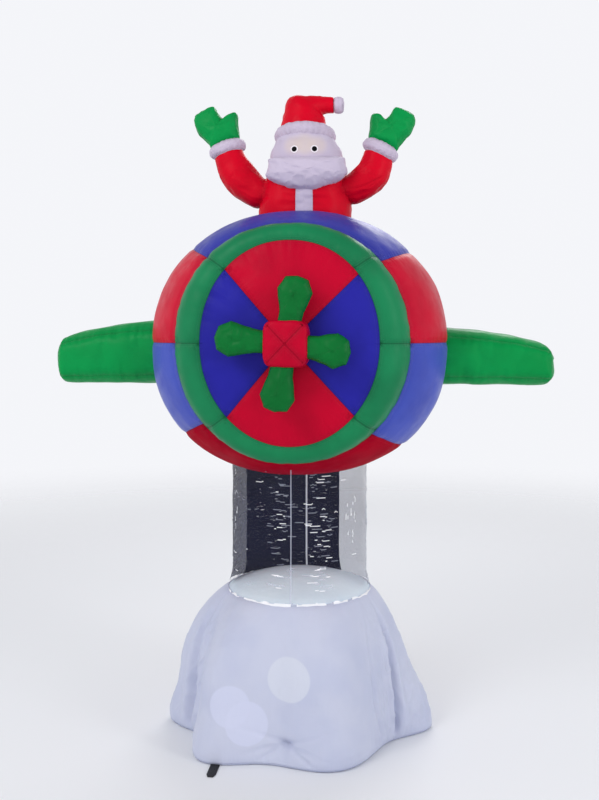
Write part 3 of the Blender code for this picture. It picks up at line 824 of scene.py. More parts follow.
def loft(rings: Sequence[tuple], count: int, start: Array, end: Array) -> Skin:
    """A skin over rings that follow each other.

    Args:
        rings: Each ring's centre, two directions, half widths and squareness.
        count: How many points each ring has.
        start: The point that closes the first ring.
        end: The point that closes the last ring.

    Returns:
        The skin.
    """
    turn = turns(count)
    return Skin(np.array([ring(*each, turn) for each in rings]), start, end)


def spline(corners: Sequence[Sequence[float]], count: int, closed: bool = True) -> Array:
    """A smooth curve through some corners.

    Args:
        corners: The corners, each with the same number of values.
        count: How many points to give.
        closed: Whether it comes back to its first corner.

    Returns:
        The curve's points.
    """
    knots = np.array(corners, float)
    total = len(knots)
    span = total if closed else total - 1
    place = np.linspace(0.0, span, count, endpoint=not closed)
    low = np.minimum(place.astype(int), span - 1)
    t = (place - low)[:, None]
    order = [(low + k) % total if closed else np.clip(low + k, 0, total - 1) for k in (-1, 0, 1, 2)]
    p0, p1, p2, p3 = (knots[index] for index in order)
    line = 2 * p1 + (p2 - p0) * t
    return 0.5 * (line + (2 * p0 - 5 * p1 + 4 * p2 - p3) * t**2 + (3 * p1 - p0 - 3 * p2 + p3) * t**3)


def cut_outline(corners: Sequence[Sequence[float]], count: int, ease: float) -> Array:
    """An outline between straight cuts and a smooth curve through its corners.

    Args:
        corners: The corners.
        count: How many points to give.
        ease: 0 for straight cuts, 1 for the curve.

    Returns:
        The outline's points.
    """
    knots = np.array(corners, float)
    wrapped = np.vstack([knots, knots[:1]])
    place = np.arange(count) * len(knots) / count
    whole = np.arange(len(wrapped))
    straight = np.stack([np.interp(place, whole, wrapped[:, axis]) for axis in range(2)], axis=1)
    return (1.0 - ease) * straight + ease * spline(corners, count)


def turns(count: int) -> Array:
    """Even angles all round, in radians."""
    return CIRCLE * np.arange(count) / count


def pillow(
    outline: Array,
    middle: tuple[float, float],
    thickness: float,
    place: Callable[..., Array],
    fullness: float,
    layers: int,
) -> Skin:
    """A stuffed shape: a flat outline that swells to a thickness about its middle.

    Args:
        outline: The outline's points in its plane.
        middle: The middle in that plane.
        thickness: Its thickness in metres.
        place: Turns two coordinates in the plane and a height off it into points.
        fullness: How square its section is.
        layers: How many rows lie on each side of the outline.

    Returns:
        The skin, sewn along its outline.
    """
    rows = []
    steps = np.sin(0.5 * math.pi * np.linspace(-1.0, 1.0, 2 * layers + 1))[1:-1]
    for lift in steps:
        spread = (1.0 - abs(lift) ** fullness) ** (1.0 / fullness)
        u, v = (middle[axis] + (outline[:, axis] - middle[axis]) * spread for axis in range(2))
        rows.append(place(u, v, np.full(len(u), 0.5 * thickness * lift)))
    u, v = np.array(middle)[:, None]
    ends = [place(u, v, np.array([0.5 * thickness * side]))[0] for side in (-1.0, 1.0)]
    skin = Skin(np.array(rows), *ends)
    skin.sew_rows(len(steps) // 2)
    return skin


@dataclass
class SnowMound:
    """The white snow mound with its flat sewn underside.

    Attributes:
        lobes: The feet that stick out: heading in degrees, reach in metres and spread in degrees.
        folds: The folds from the tube's foot down, each with its heading, sway, depth and width.
        crumpled: Where the side lobes are crumpled, and how widely, in degrees.
        dimple: Where the front of the cloth is held down, across and up.
    """

    height: float = 0.588
    crown: float = 0.053
    shoulder_radius: float = 0.266
    plan_radius: float = 0.365
    waist: float = 0.09
    right_hollow: float = 0.42
    tuck: float = 0.012
    lobes: tuple = (
        (2, 0.142, 11),
        (178, 0.142, 12),
        (-132, 0.120, 13),
        (-66, 0.070, 16),
        (58, 0.080, 18),
        (122, 0.080, 18),
    )
    folds: tuple = (
        (-19.0, 4.0, 0.026, 0.011),
        (-31.0, -6.0, 0.006, 0.010),
        (-163.0, -4.0, 0.022, 0.013),
        (-97.0, 2.0, 0.005, 0.030),
        (30.0, 4.0, 0.010, 0.024),
        (90.0, 0.0, 0.010, 0.026),
        (150.0, -4.0, 0.010, 0.024),
    )
    crumpled: tuple = ((200.0, 20.0), (-16.0, 18.0))
    dimple: tuple[float, float] = (-0.015, 0.080)
    columns: int = 720

    def plan(self, angle: Array, share: float = 0.0) -> Array:
        """The reach in each direction at a share of the shoulder's height.

        Args:
            angle: The directions in degrees.
            share: The share of the height.

        Returns:
            The reach in metres.
        """
        reach = np.full(np.shape(angle), self.plan_radius)
        rise = min(max((share - 0.2) / 0.35, 0.0), 1.0)
        for index, (heading, out, spread) in enumerate(self.lobes):
            hollow = self.right_hollow * rise * rise * (3.0 - 2.0 * rise) if index == 0 else 0.0
            reach = reach + out * (1.0 - hollow) * np.exp(-0.5 * (from_heading(angle, heading) / spread) ** 2)
        return reach

    def side(self, angle: Array, share: float) -> Array:
        """The points at one share of the shoulder's height.

        Args:
            angle: The directions in degrees.
            share: The share of the height.

        Returns:
            The points.
        """
        spread = self.plan(angle, share) - self.shoulder_radius
        waist = self.waist * math.exp(-(((share - 0.3) / 0.18) ** 2))
        radius = self.shoulder_radius + spread * ((1.0 - share**2) ** 0.75 - waist)
        if share == 0.0:
            radius = radius - self.tuck
        turn = np.radians(angle)
        level = np.full(angle.shape, (self.height - self.crown) * share)
        return np.stack([radius * np.cos(turn), radius * np.sin(turn), level], axis=1)

    def build(self) -> None:
        """Make the mound with its folds and its seam at the ground."""
        angle = np.arange(self.columns) * 360.0 / self.columns
        shares = np.concatenate([[0.0, 0.012], np.linspace(0.03, 0.99, 78), [0.997, 1.0]])
        rows = [self.side(angle, float(share)) for share in shares]
        shoulder = self.height - self.crown
        turn = np.radians(angle)
        for share in np.linspace(0.96, 0.08, 16):
            middle = UP * (shoulder + self.crown * (1.0 - share**2))
            radius = self.shoulder_radius * share
            rows.append(middle + radius * (np.cos(turn)[:, None] * RIGHT + np.sin(turn)[:, None] * BACK))
        skin = Skin(np.array(rows), np.zeros(3), UP * self.height)
        skin.sew_rows(1, len(shares) - 2)
        skin.measure()
        skin.panels = np.zeros((len(rows) - 1, self.columns), int)
        # Painted light: the crown's rows take the brighter copy of the snow cloth.
        skin.panels[len(shares) - 2 :] = 1
        outside = np.arange(len(rows))[:, None] < len(shares)
        fade = np.clip(skin.points[..., 2] / 0.05, 0.0, 1.0) * outside
        skin.push(self.relief(skin.points, angle) * fade - 0.0035 * bell(skin.seam, 0.010) * outside)
        skin.points[..., 2] = np.maximum(skin.points[..., 2], 0.0)
        skin.dress("snow_mound_cloth", "white_nylon", [Cloth.SNOW, Cloth.SNOW_CROWN], "snow_mound", fill=0.8)

    def relief(self, points: Array, angle: Array) -> Array:
        """The folds, gathers, crumples and dimple of the cloth.

        Args:
            points: The mound's points.
            angle: The direction of each column in degrees.

        Returns:
            How far each point moves out, in metres.
        """
        level = points[..., 2]
        share = level / (self.height - self.crown)
        around = np.broadcast_to(angle, level.shape)
        height = np.zeros(level.shape)
        for heading, sway, depth, wide in self.folds:
            away = np.radians(from_heading(around, heading + sway * np.sin(3.1 * share))) * 0.37
            reach = np.clip(1.5 - 1.5 * share, 0.0, 1.0)
            height -= depth * bell(away, wide) * reach
            height += 0.4 * depth * bell(np.abs(away) - 2.0 * wide, wide) * reach
        below = np.clip(4.0 - 4.2 * share, 0.0, 1.0)
        height += 0.0022 * gathers(np.radians(around) * 0.42, 0.05, 9) * np.exp(-share / 0.10)
        height += 0.0012 * gathers(np.radians(around) * 0.30, 0.035, 4) * np.exp(-np.abs(share - 0.93) / 0.06)
        uneven = 0.005 * Ripple(0.33, 12).at(points) + 0.0008 * Ripple((0.09, 0.09, 0.14), 5).at(points)
        height += uneven * below
        crumple = np.clip(1.0 - np.abs(Ripple((0.07, 0.07, 0.12), 71).at(points)), 0.0, 1.0) ** 4
        for heading, wide in self.crumpled:
            height += 0.007 * crumple * bell(from_heading(around, heading), wide) * below
        dx = points[..., 0] - self.dimple[0]
        dz = level - self.dimple[1]
        front = points[..., 1] < 0.0
        height -= 0.016 * bell(dx, 0.018) * bell(dz, 0.018) * front
        # Two folds hang from the dimple and two run out of its sides.
        for lean in (-1.0, 1.0):
            away = (dx + lean * 1.5 * dz) / 1.8
            height -= 0.009 * bell(away, 0.008) * bell(dz + 0.035, 0.040) * front
            ray = (dz - lean * 0.28 * dx) / 1.04
            height -= 0.007 * bell(ray, 0.008) * bell(dx, 0.11) * front
        return height


@dataclass
class TetherTab:
    """The flat strap that comes out from under the mound."""

    mound: SnowMound
    angle: float = -125.0
    heading: float = -91.0
    width: float = 0.032
    reach: float = 0.095
    root: float = 0.060
    thickness: float = 0.003

    def build(self) -> None:
        """Make the strap as a woven band with rounded edges."""
        turn = math.radians(self.angle)
        reach = float(self.mound.plan(np.array(self.angle))) - 0.5 * self.width
        edge = np.array([math.cos(turn), math.sin(turn), 0.0]) * reach
        turn = math.radians(self.heading)
        out = np.array([math.cos(turn), math.sin(turn), 0.0])
        side = np.array([-out[1], out[0], 0.0])
        lower = [(-self.root, -0.5), (0.8 * self.reach, -0.5), (self.reach, -0.3)]
        outline = cut_outline([*lower, *((u, -v) for u, v in reversed(lower))], 96, 0.0)
        rows = []
        for lift, inset in ((0.0, 0.94), (0.25, 1.0), (0.75, 1.0), (1.0, 0.94), (1.0, 0.6), (1.0, 0.25)):
            middle = np.array([0.3 * self.reach, 0.0])
            flat = middle + (outline - middle) * inset
            level = edge + flat[:, :1] * out + flat[:, 1:] * self.width * side
            rows.append(level + UP * (lift * self.thickness))
        foot = edge + 0.3 * self.reach * out
        skin = Skin(np.array(rows), foot, foot + UP * self.thickness)
        skin.dress("tether_strap", "black_webbing", [Cloth.STRAP], "tether_tab", fill=None)


@dataclass
class PlaneBody:
    """The barrel-shaped aeroplane: one chamber of panels, a rolled ring and a four-part front disc.

    Attributes:
        disc_seams: Where the disc's quarters meet, in degrees from the right.
        ring_seams: Where the ring is sewn across.
        side_seams: Where the side panels meet.
    """

    centre_height: float = 1.461
    half_width: float = 0.559
    half_height: float = 0.496
    squareness: float = 2.3
    crown_squareness: float = 2.1
    ring_outer: tuple[float, float] = (0.415, 0.420)
    ring_inner: tuple[float, float] = (0.308, 0.352)
    ring_outer_y: float = -0.330
    ring_inner_y: float = -0.418
    ring_roll: float = 0.022
    disc_bulge: float = 0.036
    tail_length: float = 0.640
    disc_seams: tuple = (41, 135, 226, 316)
    ring_seams: tuple = (0, 45, 135, 180, 225, 315)
    side_seams: tuple = (0, 42, 135, 180, 222, 312)
    columns: int = 720

    def section(self, y: float) -> tuple[float, float, float]:
        """The barrel's half width, half height and squareness at one place along it.

        Args:
            y: The place, in metres.

        Returns:
            Half width, half height and squareness.
        """
        if y > 0.0:
            share = y / self.tail_length
            shrink = (1.0 - share**2.3) ** 0.55
            return self.half_width * shrink, self.half_height * shrink, self.squareness - 0.3 * share
        reach = y / self.ring_outer_y
        wide = math.sqrt(1.0 - (1.0 - (self.ring_outer[0] / self.half_width) ** 2) * reach**2)
        high = math.sqrt(1.0 - (1.0 - (self.ring_outer[1] / self.half_height) ** 2) * reach**2)
        return self.half_width * wide, self.half_height * high, 2.1 + (self.squareness - 2.1) * (1.0 - reach)

    def underside(self, x: Array, y: Array) -> Array:
        """The height of the barrel's underside over some points of the ground.

        Args:
            x: Places across.
            y: Places along.

        Returns:
            The heights in metres.
        """
        heights = []
        for across, along in zip(x, y):
            wide, high, power = self.section(float(along))
            heights.append(self.centre_height - high * (1.0 - abs(across / wide) ** power) ** (1.0 / power))
        return np.array(heights)

    def build(self) -> None:
        """Make the barrel with its coloured panels, seams and gathers."""
        sections = []
        for share in np.linspace(0.02, 0.98, 20):
            y = self.ring_inner_y - self.disc_bulge * (1.0 - share**2)
            sections.append((y, self.ring_inner[0] * share, self.ring_inner[1] * share, 2.0))
        inner = len(sections)
        sections.append((self.ring_inner_y, *self.ring_inner, 2.0))
        for share in np.linspace(0.07, 0.93, 13):
            roll = self.ring_roll * math.sin(math.pi * share)
            y = self.ring_inner_y + (self.ring_outer_y - self.ring_inner_y) * share**1.4 - 0.7 * roll
            wide, high = (low + (top - low) * share for low, top in zip(self.ring_inner, self.ring_outer))
            sections.append((y, wide + 0.7 * roll, high + 0.7 * roll, 2.05))
        outer = len(sections)
        sections.append((self.ring_outer_y, *self.ring_outer, 2.1))
        places = [self.ring_outer_y * float(share) for share in np.linspace(0.96, 0.0, 23)]
        places += [self.tail_length * float(share) for share in np.linspace(0.025, 0.985, 42)]
        sections.extend((y, *self.section(y)) for y in places)
        above = np.sin(turns(self.columns)) > 0.0
        centre = UP * self.centre_height
        rings = []
        for y, wide, high, power in sections:
            powers = np.where(above, self.crown_squareness, power)
            rings.append((centre + BACK * y, RIGHT, UP, (wide, high), powers))
        start = centre + BACK * (self.ring_inner_y - self.disc_bulge)
        skin = loft(rings, self.columns, start, centre + BACK * self.tail_length)
        skin.sew_rows(inner, outer)
        skin.sew_angles(self.disc_seams, 0, inner)
        skin.sew_angles(self.ring_seams, inner, outer)
        skin.sew_angles(self.side_seams, outer)
        # Painted light and shade: the top and flank panels take paler copies of the blue, and the belly a
        # darker copy of the red.
        cloths = (
            Cloth.DISC_RED,
            Cloth.DISC_BLUE,
            Cloth.RING_GREEN,
            Cloth.BARREL_RED,
            Cloth.BARREL_BLUE,
            Cloth.FLANK_BLUE,
            Cloth.BELLY_RED,
        )
        # The panels in their order round the barrel, from the right: the last one runs back to the start.
        disc = (Cloth.DISC_BLUE, Cloth.DISC_RED, Cloth.DISC_BLUE, Cloth.DISC_RED, Cloth.DISC_BLUE)
        side = (
            Cloth.BARREL_RED,
            Cloth.BARREL_BLUE,
            Cloth.BARREL_RED,
            Cloth.FLANK_BLUE,
            Cloth.BELLY_RED,
            Cloth.FLANK_BLUE,
        )
        angles = (np.arange(self.columns) + 0.5) * 360.0 / self.columns
        skin.panels = np.zeros((len(rings) - 1, self.columns), int)
        skin.panels[inner:outer] = cloths.index(Cloth.RING_GREEN)
        disc_marks = np.array([cloths.index(cloth) for cloth in disc])
        side_marks = np.array([cloths.index(cloth) for cloth in side])
        skin.panels[:inner] = disc_marks[np.searchsorted(self.disc_seams, angles)]
        skin.panels[outer:] = side_marks[np.searchsorted(self.side_seams, angles) - 1]
        skin.puff(0.003, 0.0035, 0.032, 0.0015, 0.032, 21)
        skin.push(0.0018 * Ripple(0.24, 31).at(skin.points) + 0.0004 * Ripple(0.07, 32).at(skin.points))
        skin.dress("plane_body_cloth", "panel_nylon", cloths, "plane_body", fill=1.0)


@dataclass
class ClearTube:
    """The clear vinyl skin between the mound and the aeroplane, with its flared foot and weld seams.

    Attributes:
        painted_sectors: Sectors of painted shade and painted reflection, each with its film and its first and
            last angle in degrees.
        foot_band: How low the painted sectors reach in front, and how much lower behind.
        ring_top: How high the weld at the foot reaches.
        creases: Level painted glints along creases, each group with its heading and spread in degrees, and
            its count.
        glints: Upright painted glints, in the same way.
        glint_cells: How long a level painted glint is, in faces.
        bright_share: The share of the level painted glints that are bright.
    """

    body: PlaneBody
    mound: SnowMound
    radius: float = 0.256
    foot_radius: float = 0.284
    flare: float = 0.110
    painted_sectors: tuple = (
        (Cloth.SMOKE_FILM, 56.0, 150.0),
        (Cloth.SIDE_FILM, 150.0, 186.0),
        (Cloth.PALE_FILM, -10.0, 56.0),
    )
    foot_band: tuple[float, float] = (0.550, 0.034)
    ring_top: float = 0.5325
    front_weld: float = 268.0
    rear_weld: float = 88.0
    creases: tuple = ((257.0, 5.0, 46), (289.0, 6.5, 62), (272.0, 34.0, 34))
    glints: tuple = ((324.0, 3.5, 12), (207.0, 5.0, 8))
    glint_cells: tuple[float, float] = (2.0, 12.0)
    bright_share: float = 0.30
    films: tuple = (
        Cloth.FILM,
        Cloth.WELD,
        Cloth.SMOKE_FILM,
        Cloth.SIDE_FILM,
        Cloth.PALE_FILM,
        Cloth.CREASE,
        Cloth.SOFT_CREASE,
    )
    columns: int = 480
    rows: int = 190

    def build(self) -> None:
        """Make the tube as one skin of film with its welds, creases, painted glints and foot ring."""
        top = self.mound.height + 0.012
        bottom = top - self.flare
        turn = turns(self.columns)
        x = self.radius * np.cos(turn)
        y = self.radius * np.sin(turn)
        crest = self.body.underside(x, y) + 0.004
        rows = []
        for share in np.linspace(0.0, 1.0, self.rows):
            level = bottom + (crest - bottom) * share
            rise = np.clip((level - bottom) / self.flare, 0.0, 1.0)
            ease = (1.0 - rise) ** 1.6 * (1.0 + 0.6 * rise)
            radius = self.radius + (self.foot_radius - self.radius) * ease
            rows.append(np.stack([radius * np.cos(turn), radius * np.sin(turn), level], axis=1))
        skin = Skin(np.array(rows))
        skin.sew_angles((self.rear_weld, self.front_weld))
        skin.sew_rows(0)
        skin.measure()
        level = skin.points[..., 2]
        calm = np.clip((crest[None, :] - level) / 0.03, 0.0, 1.0) * np.clip((level - bottom) / 0.02, 0.0, 1.0)
        fine = Ripple((0.085, 0.085, 0.0125), 61, 40).at(skin.points)
        patch = np.clip(Ripple((0.12, 0.12, 0.10), 62).at(skin.points) + 0.25, 0.0, 1.0)
        broad = Ripple((0.25, 0.25, 0.09), 63).at(skin.points)
        skin.push(calm * (0.0022 * fine * patch + 0.0018 * broad - 0.001 * bell(skin.seam, 0.01)))
        skin.panels = self.paint(level[:-1])
        skin.dress("clear_tube_film", "clear_vinyl", self.films, "clear_tube", fill=1.0)

    def paint(self, level: Array) -> Array:
        """Choose each face's film: clear in front, painted shade behind and painted reflection at the sides,
        with its welds, painted glints and foot ring.

        Args:
            level: The height of each face.

        Returns:
            The film's number for each face.
        """
        at = self.columns / 360.0
        angle = (np.arange(self.columns) + 0.5) / at
        number = self.films.index
        panels = np.zeros(level.shape, int)
        # Painted shade and reflection: dark, grey and pale sectors of film stand in for a dark room seen
        # through the clear tube and for the light its sides mirror.
        above = level > self.foot_band[0] - self.foot_band[1] * np.maximum(0.0, np.sin(np.radians(angle)))
        for film, first, last in self.painted_sectors:
            panels[above & ((angle - first) % 360.0 < last - first)] = number(film)
        # Painted glints: short bright and soft dashes along the front film's creases, and upright ones at its
        # sides.
        random = np.random.default_rng(64)
        low = int(0.16 * self.rows)
        for heading, spread, count in self.creases:
            for _ in range(count):
                column = int(random.normal(heading, spread) * at)
                row = random.uniform(low, 0.97 * self.rows)
                long = int(random.uniform(*self.glint_cells))
                slope = random.uniform(-0.08, 0.08)
                bow = random.uniform(-0.5, 0.5)
                tone = Cloth.CREASE if random.random() < self.bright_share else Cloth.SOFT_CREASE
                for step in range(long):
                    share = step / max(1, long - 1)
                    here = int(row + slope * step + bow * math.sin(math.pi * share))
                    panels[min(max(here, 0), self.rows - 2), (column + step) % self.columns] = number(tone)
        for heading, spread, count in self.glints:
            for _ in range(count):
                column = int(random.normal(heading, spread) * at) % self.columns
                row = int(random.uniform(0.45, 0.93) * self.rows)
                panels[row : row + int(random.uniform(3, 11)), column] = number(Cloth.CREASE)
        rear = int(self.rear_weld * at)
        panels[:, [int(self.front_weld * at), rear, rear + 1]] = number(Cloth.WELD)
        # The foot's weld lies on the cloth as a ragged white ring, with painted glints along its bright
        # stretches.
        along = np.radians(angle) * self.foot_radius
        foot = level < (self.ring_top + 0.0030 * gathers(along, 0.050, 65))[None, :]
        bright = gathers(along, 0.090, 66) > -0.5
        panels[foot] = number(Cloth.WELD)
        panels[foot & bright[None, :]] = number(Cloth.CREASE)
        return panels


@dataclass
class Wing:
    """One stuffed wing with a boxed edge that thins towards its tip."""

    side: float
    height: float
    body: PlaneBody
    span: float = 0.962
    chord: float = 0.400
    centre_y: float = 0.190
    root: float = 0.380
    drop: float = 0.159
    tip_drop: float = 0.072
    tip_round: float = 0.036
    columns: int = 288

    def middle(self, out: float, thick: float) -> Array:
        """The middle of the wing's section, from its place outwards and its thickness."""
        return np.array([self.side * out, self.centre_y, self.body.centre_height - self.drop + 0.5 * thick])

    def build(self) -> None:
        """Make the wing with its edge seams and the gathers at its root."""
        reach = self.span - self.root
        rings = []
        shares = np.concatenate([np.linspace(0.18, 0.9, 70), np.linspace(0.91, 0.985, 12)])
        for share in shares:
            thick = self.height - self.tip_drop * share**2.6
            near = max(0.0, 1.0 - (1.0 - share) * reach / self.tip_round)
            shrink = 1.0 - 0.11 * near**2
            half = (0.5 * self.chord * shrink, 0.5 * thick * shrink)
            rings.append((self.middle(self.root + reach * share, thick), BACK, UP, half, 4.2))
        thick = self.height - self.tip_drop
        for share in (0.9, 0.7, 0.45, 0.2):
            half = (0.445 * self.chord * share, 0.445 * thick * share)
            rings.append((self.middle(self.span - 0.0045 * share**2, thick), BACK, UP, half, 3.6))
        first = self.middle(self.root + 0.1 * reach, self.height)
        skin = loft(rings, self.columns, first, self.middle(self.span, thick))
        skin.sew_angles((40, 140, 220, 320), 0, len(shares) - 1)
        skin.sew_rows(len(shares) - 1)
        skin.puff(0.004, 0.004, 0.034, 0.0016, 0.030, 41 + int(self.side))
        from_body = np.clip((np.abs(skin.points[..., 0]) - 0.555) / 0.10, 0.0, 1.0)
        pleat = gathers(skin.points[..., 2] + 0.3 * skin.points[..., 1], 0.035, 47) * np.exp(-3.0 * from_body)
        skin.push(0.0032 * pleat + 0.002 * Ripple(0.14, 43 + int(self.side)).at(skin.points))
        name = "wing_right" if self.side > 0 else "wing_left"
        skin.dress(name + "_cloth", "green_nylon", [Cloth.GREEN], name, air=Air(0.005, 0.003))


@dataclass
class Propeller:
    """The stuffed hub and its four club-shaped blades.

    Attributes:
        blades: Each blade's node, where it points in degrees from the right, and its reach past the hub.
    """

    body: PlaneBody
    hub_size: tuple[float, float] = (0.146, 0.152)
    hub_stand: float = 0.108
    thickness: float = 0.062
    setback: float = 0.007
    root_width: float = 0.076
    width: float = 0.122
    blades: tuple = (
        ("blade_top", 80.0, 0.156),
        ("blade_left", 175.0, 0.166),
        ("blade_right", -8.0, 0.144),
        ("blade_bottom", -99.0, 0.156),
    )

    def build(self) -> None:
        """Make the hub, then each blade."""
        front = self.body.ring_inner_y - self.body.disc_bulge - self.hub_stand
        self.build_hub(front)
        for name, angle, length in self.blades:
            self.build_blade(name, angle, length, front + self.setback + 0.5 * self.thickness)

    def build_hub(self, front: float) -> None:
        """Make the hub: a padded box with a cross stitched into its face.

        Args:
            front: Where its face lies along the object, in metres.
        """
        back = self.body.ring_inner_y
        centre = UP * self.body.centre_height
        corners = ((back, 0.96), (0.5 * (back + front), 1.02), (front + 0.020, 1.0), (front + 0.008, 0.94))
        steps = [(y, size, 5.0) for y, size in spline(corners, 26, False)]
        steps += [(front + 0.008 * size**2, size, 2.0 + 3.0 * size) for size in np.linspace(0.85, 0.08, 16)]
        rings = []
        for y, size, power in steps:
            half = (0.5 * self.hub_size[0] * size, 0.5 * self.hub_size[1] * size)
            rings.append((centre + BACK * y, RIGHT, UP, half, power))
        skin = loft(rings, 192, centre + BACK * back, centre + BACK * front)
        skin.sew_angles((45, 135, 225, 315), 25)
        skin.puff(0.002, 0.002, 0.024, 0.0008, 0.016, 51)
        skin.ripple(0.0012, 0.05, 52)
        skin.dress("propeller_hub_cloth", "red_nylon", [Cloth.DISC_RED], "propeller_hub")

    def build_blade(self, name: str, angle: float, length: float, plane_y: float) -> None:
        """Make one blade with a boxed edge and a pinched face.

        Args:
            name: The blade's node.
            angle: Where it points, in degrees from the right.
            length: How far it reaches past the hub, in metres.
            plane_y: Where its middle lies along the object.
        """
        turn = math.radians(angle)
        along = np.array([math.cos(turn), 0.0, math.sin(turn)])
        across = np.array([-math.sin(turn), 0.0, math.cos(turn)])
        centre = np.array([0.0, plane_y, self.body.centre_height])
        inner = 0.5 * self.hub_size[0] - 0.030
        outer = 0.5 * self.hub_size[0] + length
        root = 0.5 * self.root_width
        wide = 0.5 * self.width
        neck = inner + 0.35 * (outer - inner)
        upper = [(outer - 0.010, 0.66 * wide), (outer - 0.052, wide), (neck, 1.12 * root), (inner, root)]
        corners = [*((u, -v) for u, v in reversed(upper)), (outer, 0.0), *upper, (inner, 0.0)]

        def place(u: Array, v: Array, lift: Array) -> Array:
            """Points from places along and across the blade and off its plane."""
            return centre + u[:, None] * along + v[:, None] * across + lift[:, None] * BACK

        middle = (0.5 * (inner + outer) + 0.030, 0.0)
        skin = pillow(cut_outline(corners, 200, 0.12), middle, self.thickness, place, 2.7, 26)
        skin.puff(0.0, 0.0015, 0.022, 0.0008, 0.012, 53 + int(abs(angle)))
        skin.ripple(0.0010, 0.05, 54 + int(abs(angle)))
        skin.dress(name + "_cloth", "green_nylon", [Cloth.BLADE_GREEN], name, air=Air(cap=0.004))


def lean_axes(lean: float) -> tuple[Array, Array]:
    """The directions along and across a hand that leans from upright by some degrees."""
    turn = math.radians(lean)
    return np.array([-math.sin(turn), 0.0, math.cos(turn)]), np.array([math.cos(turn), 0.0, math.sin(turn)])


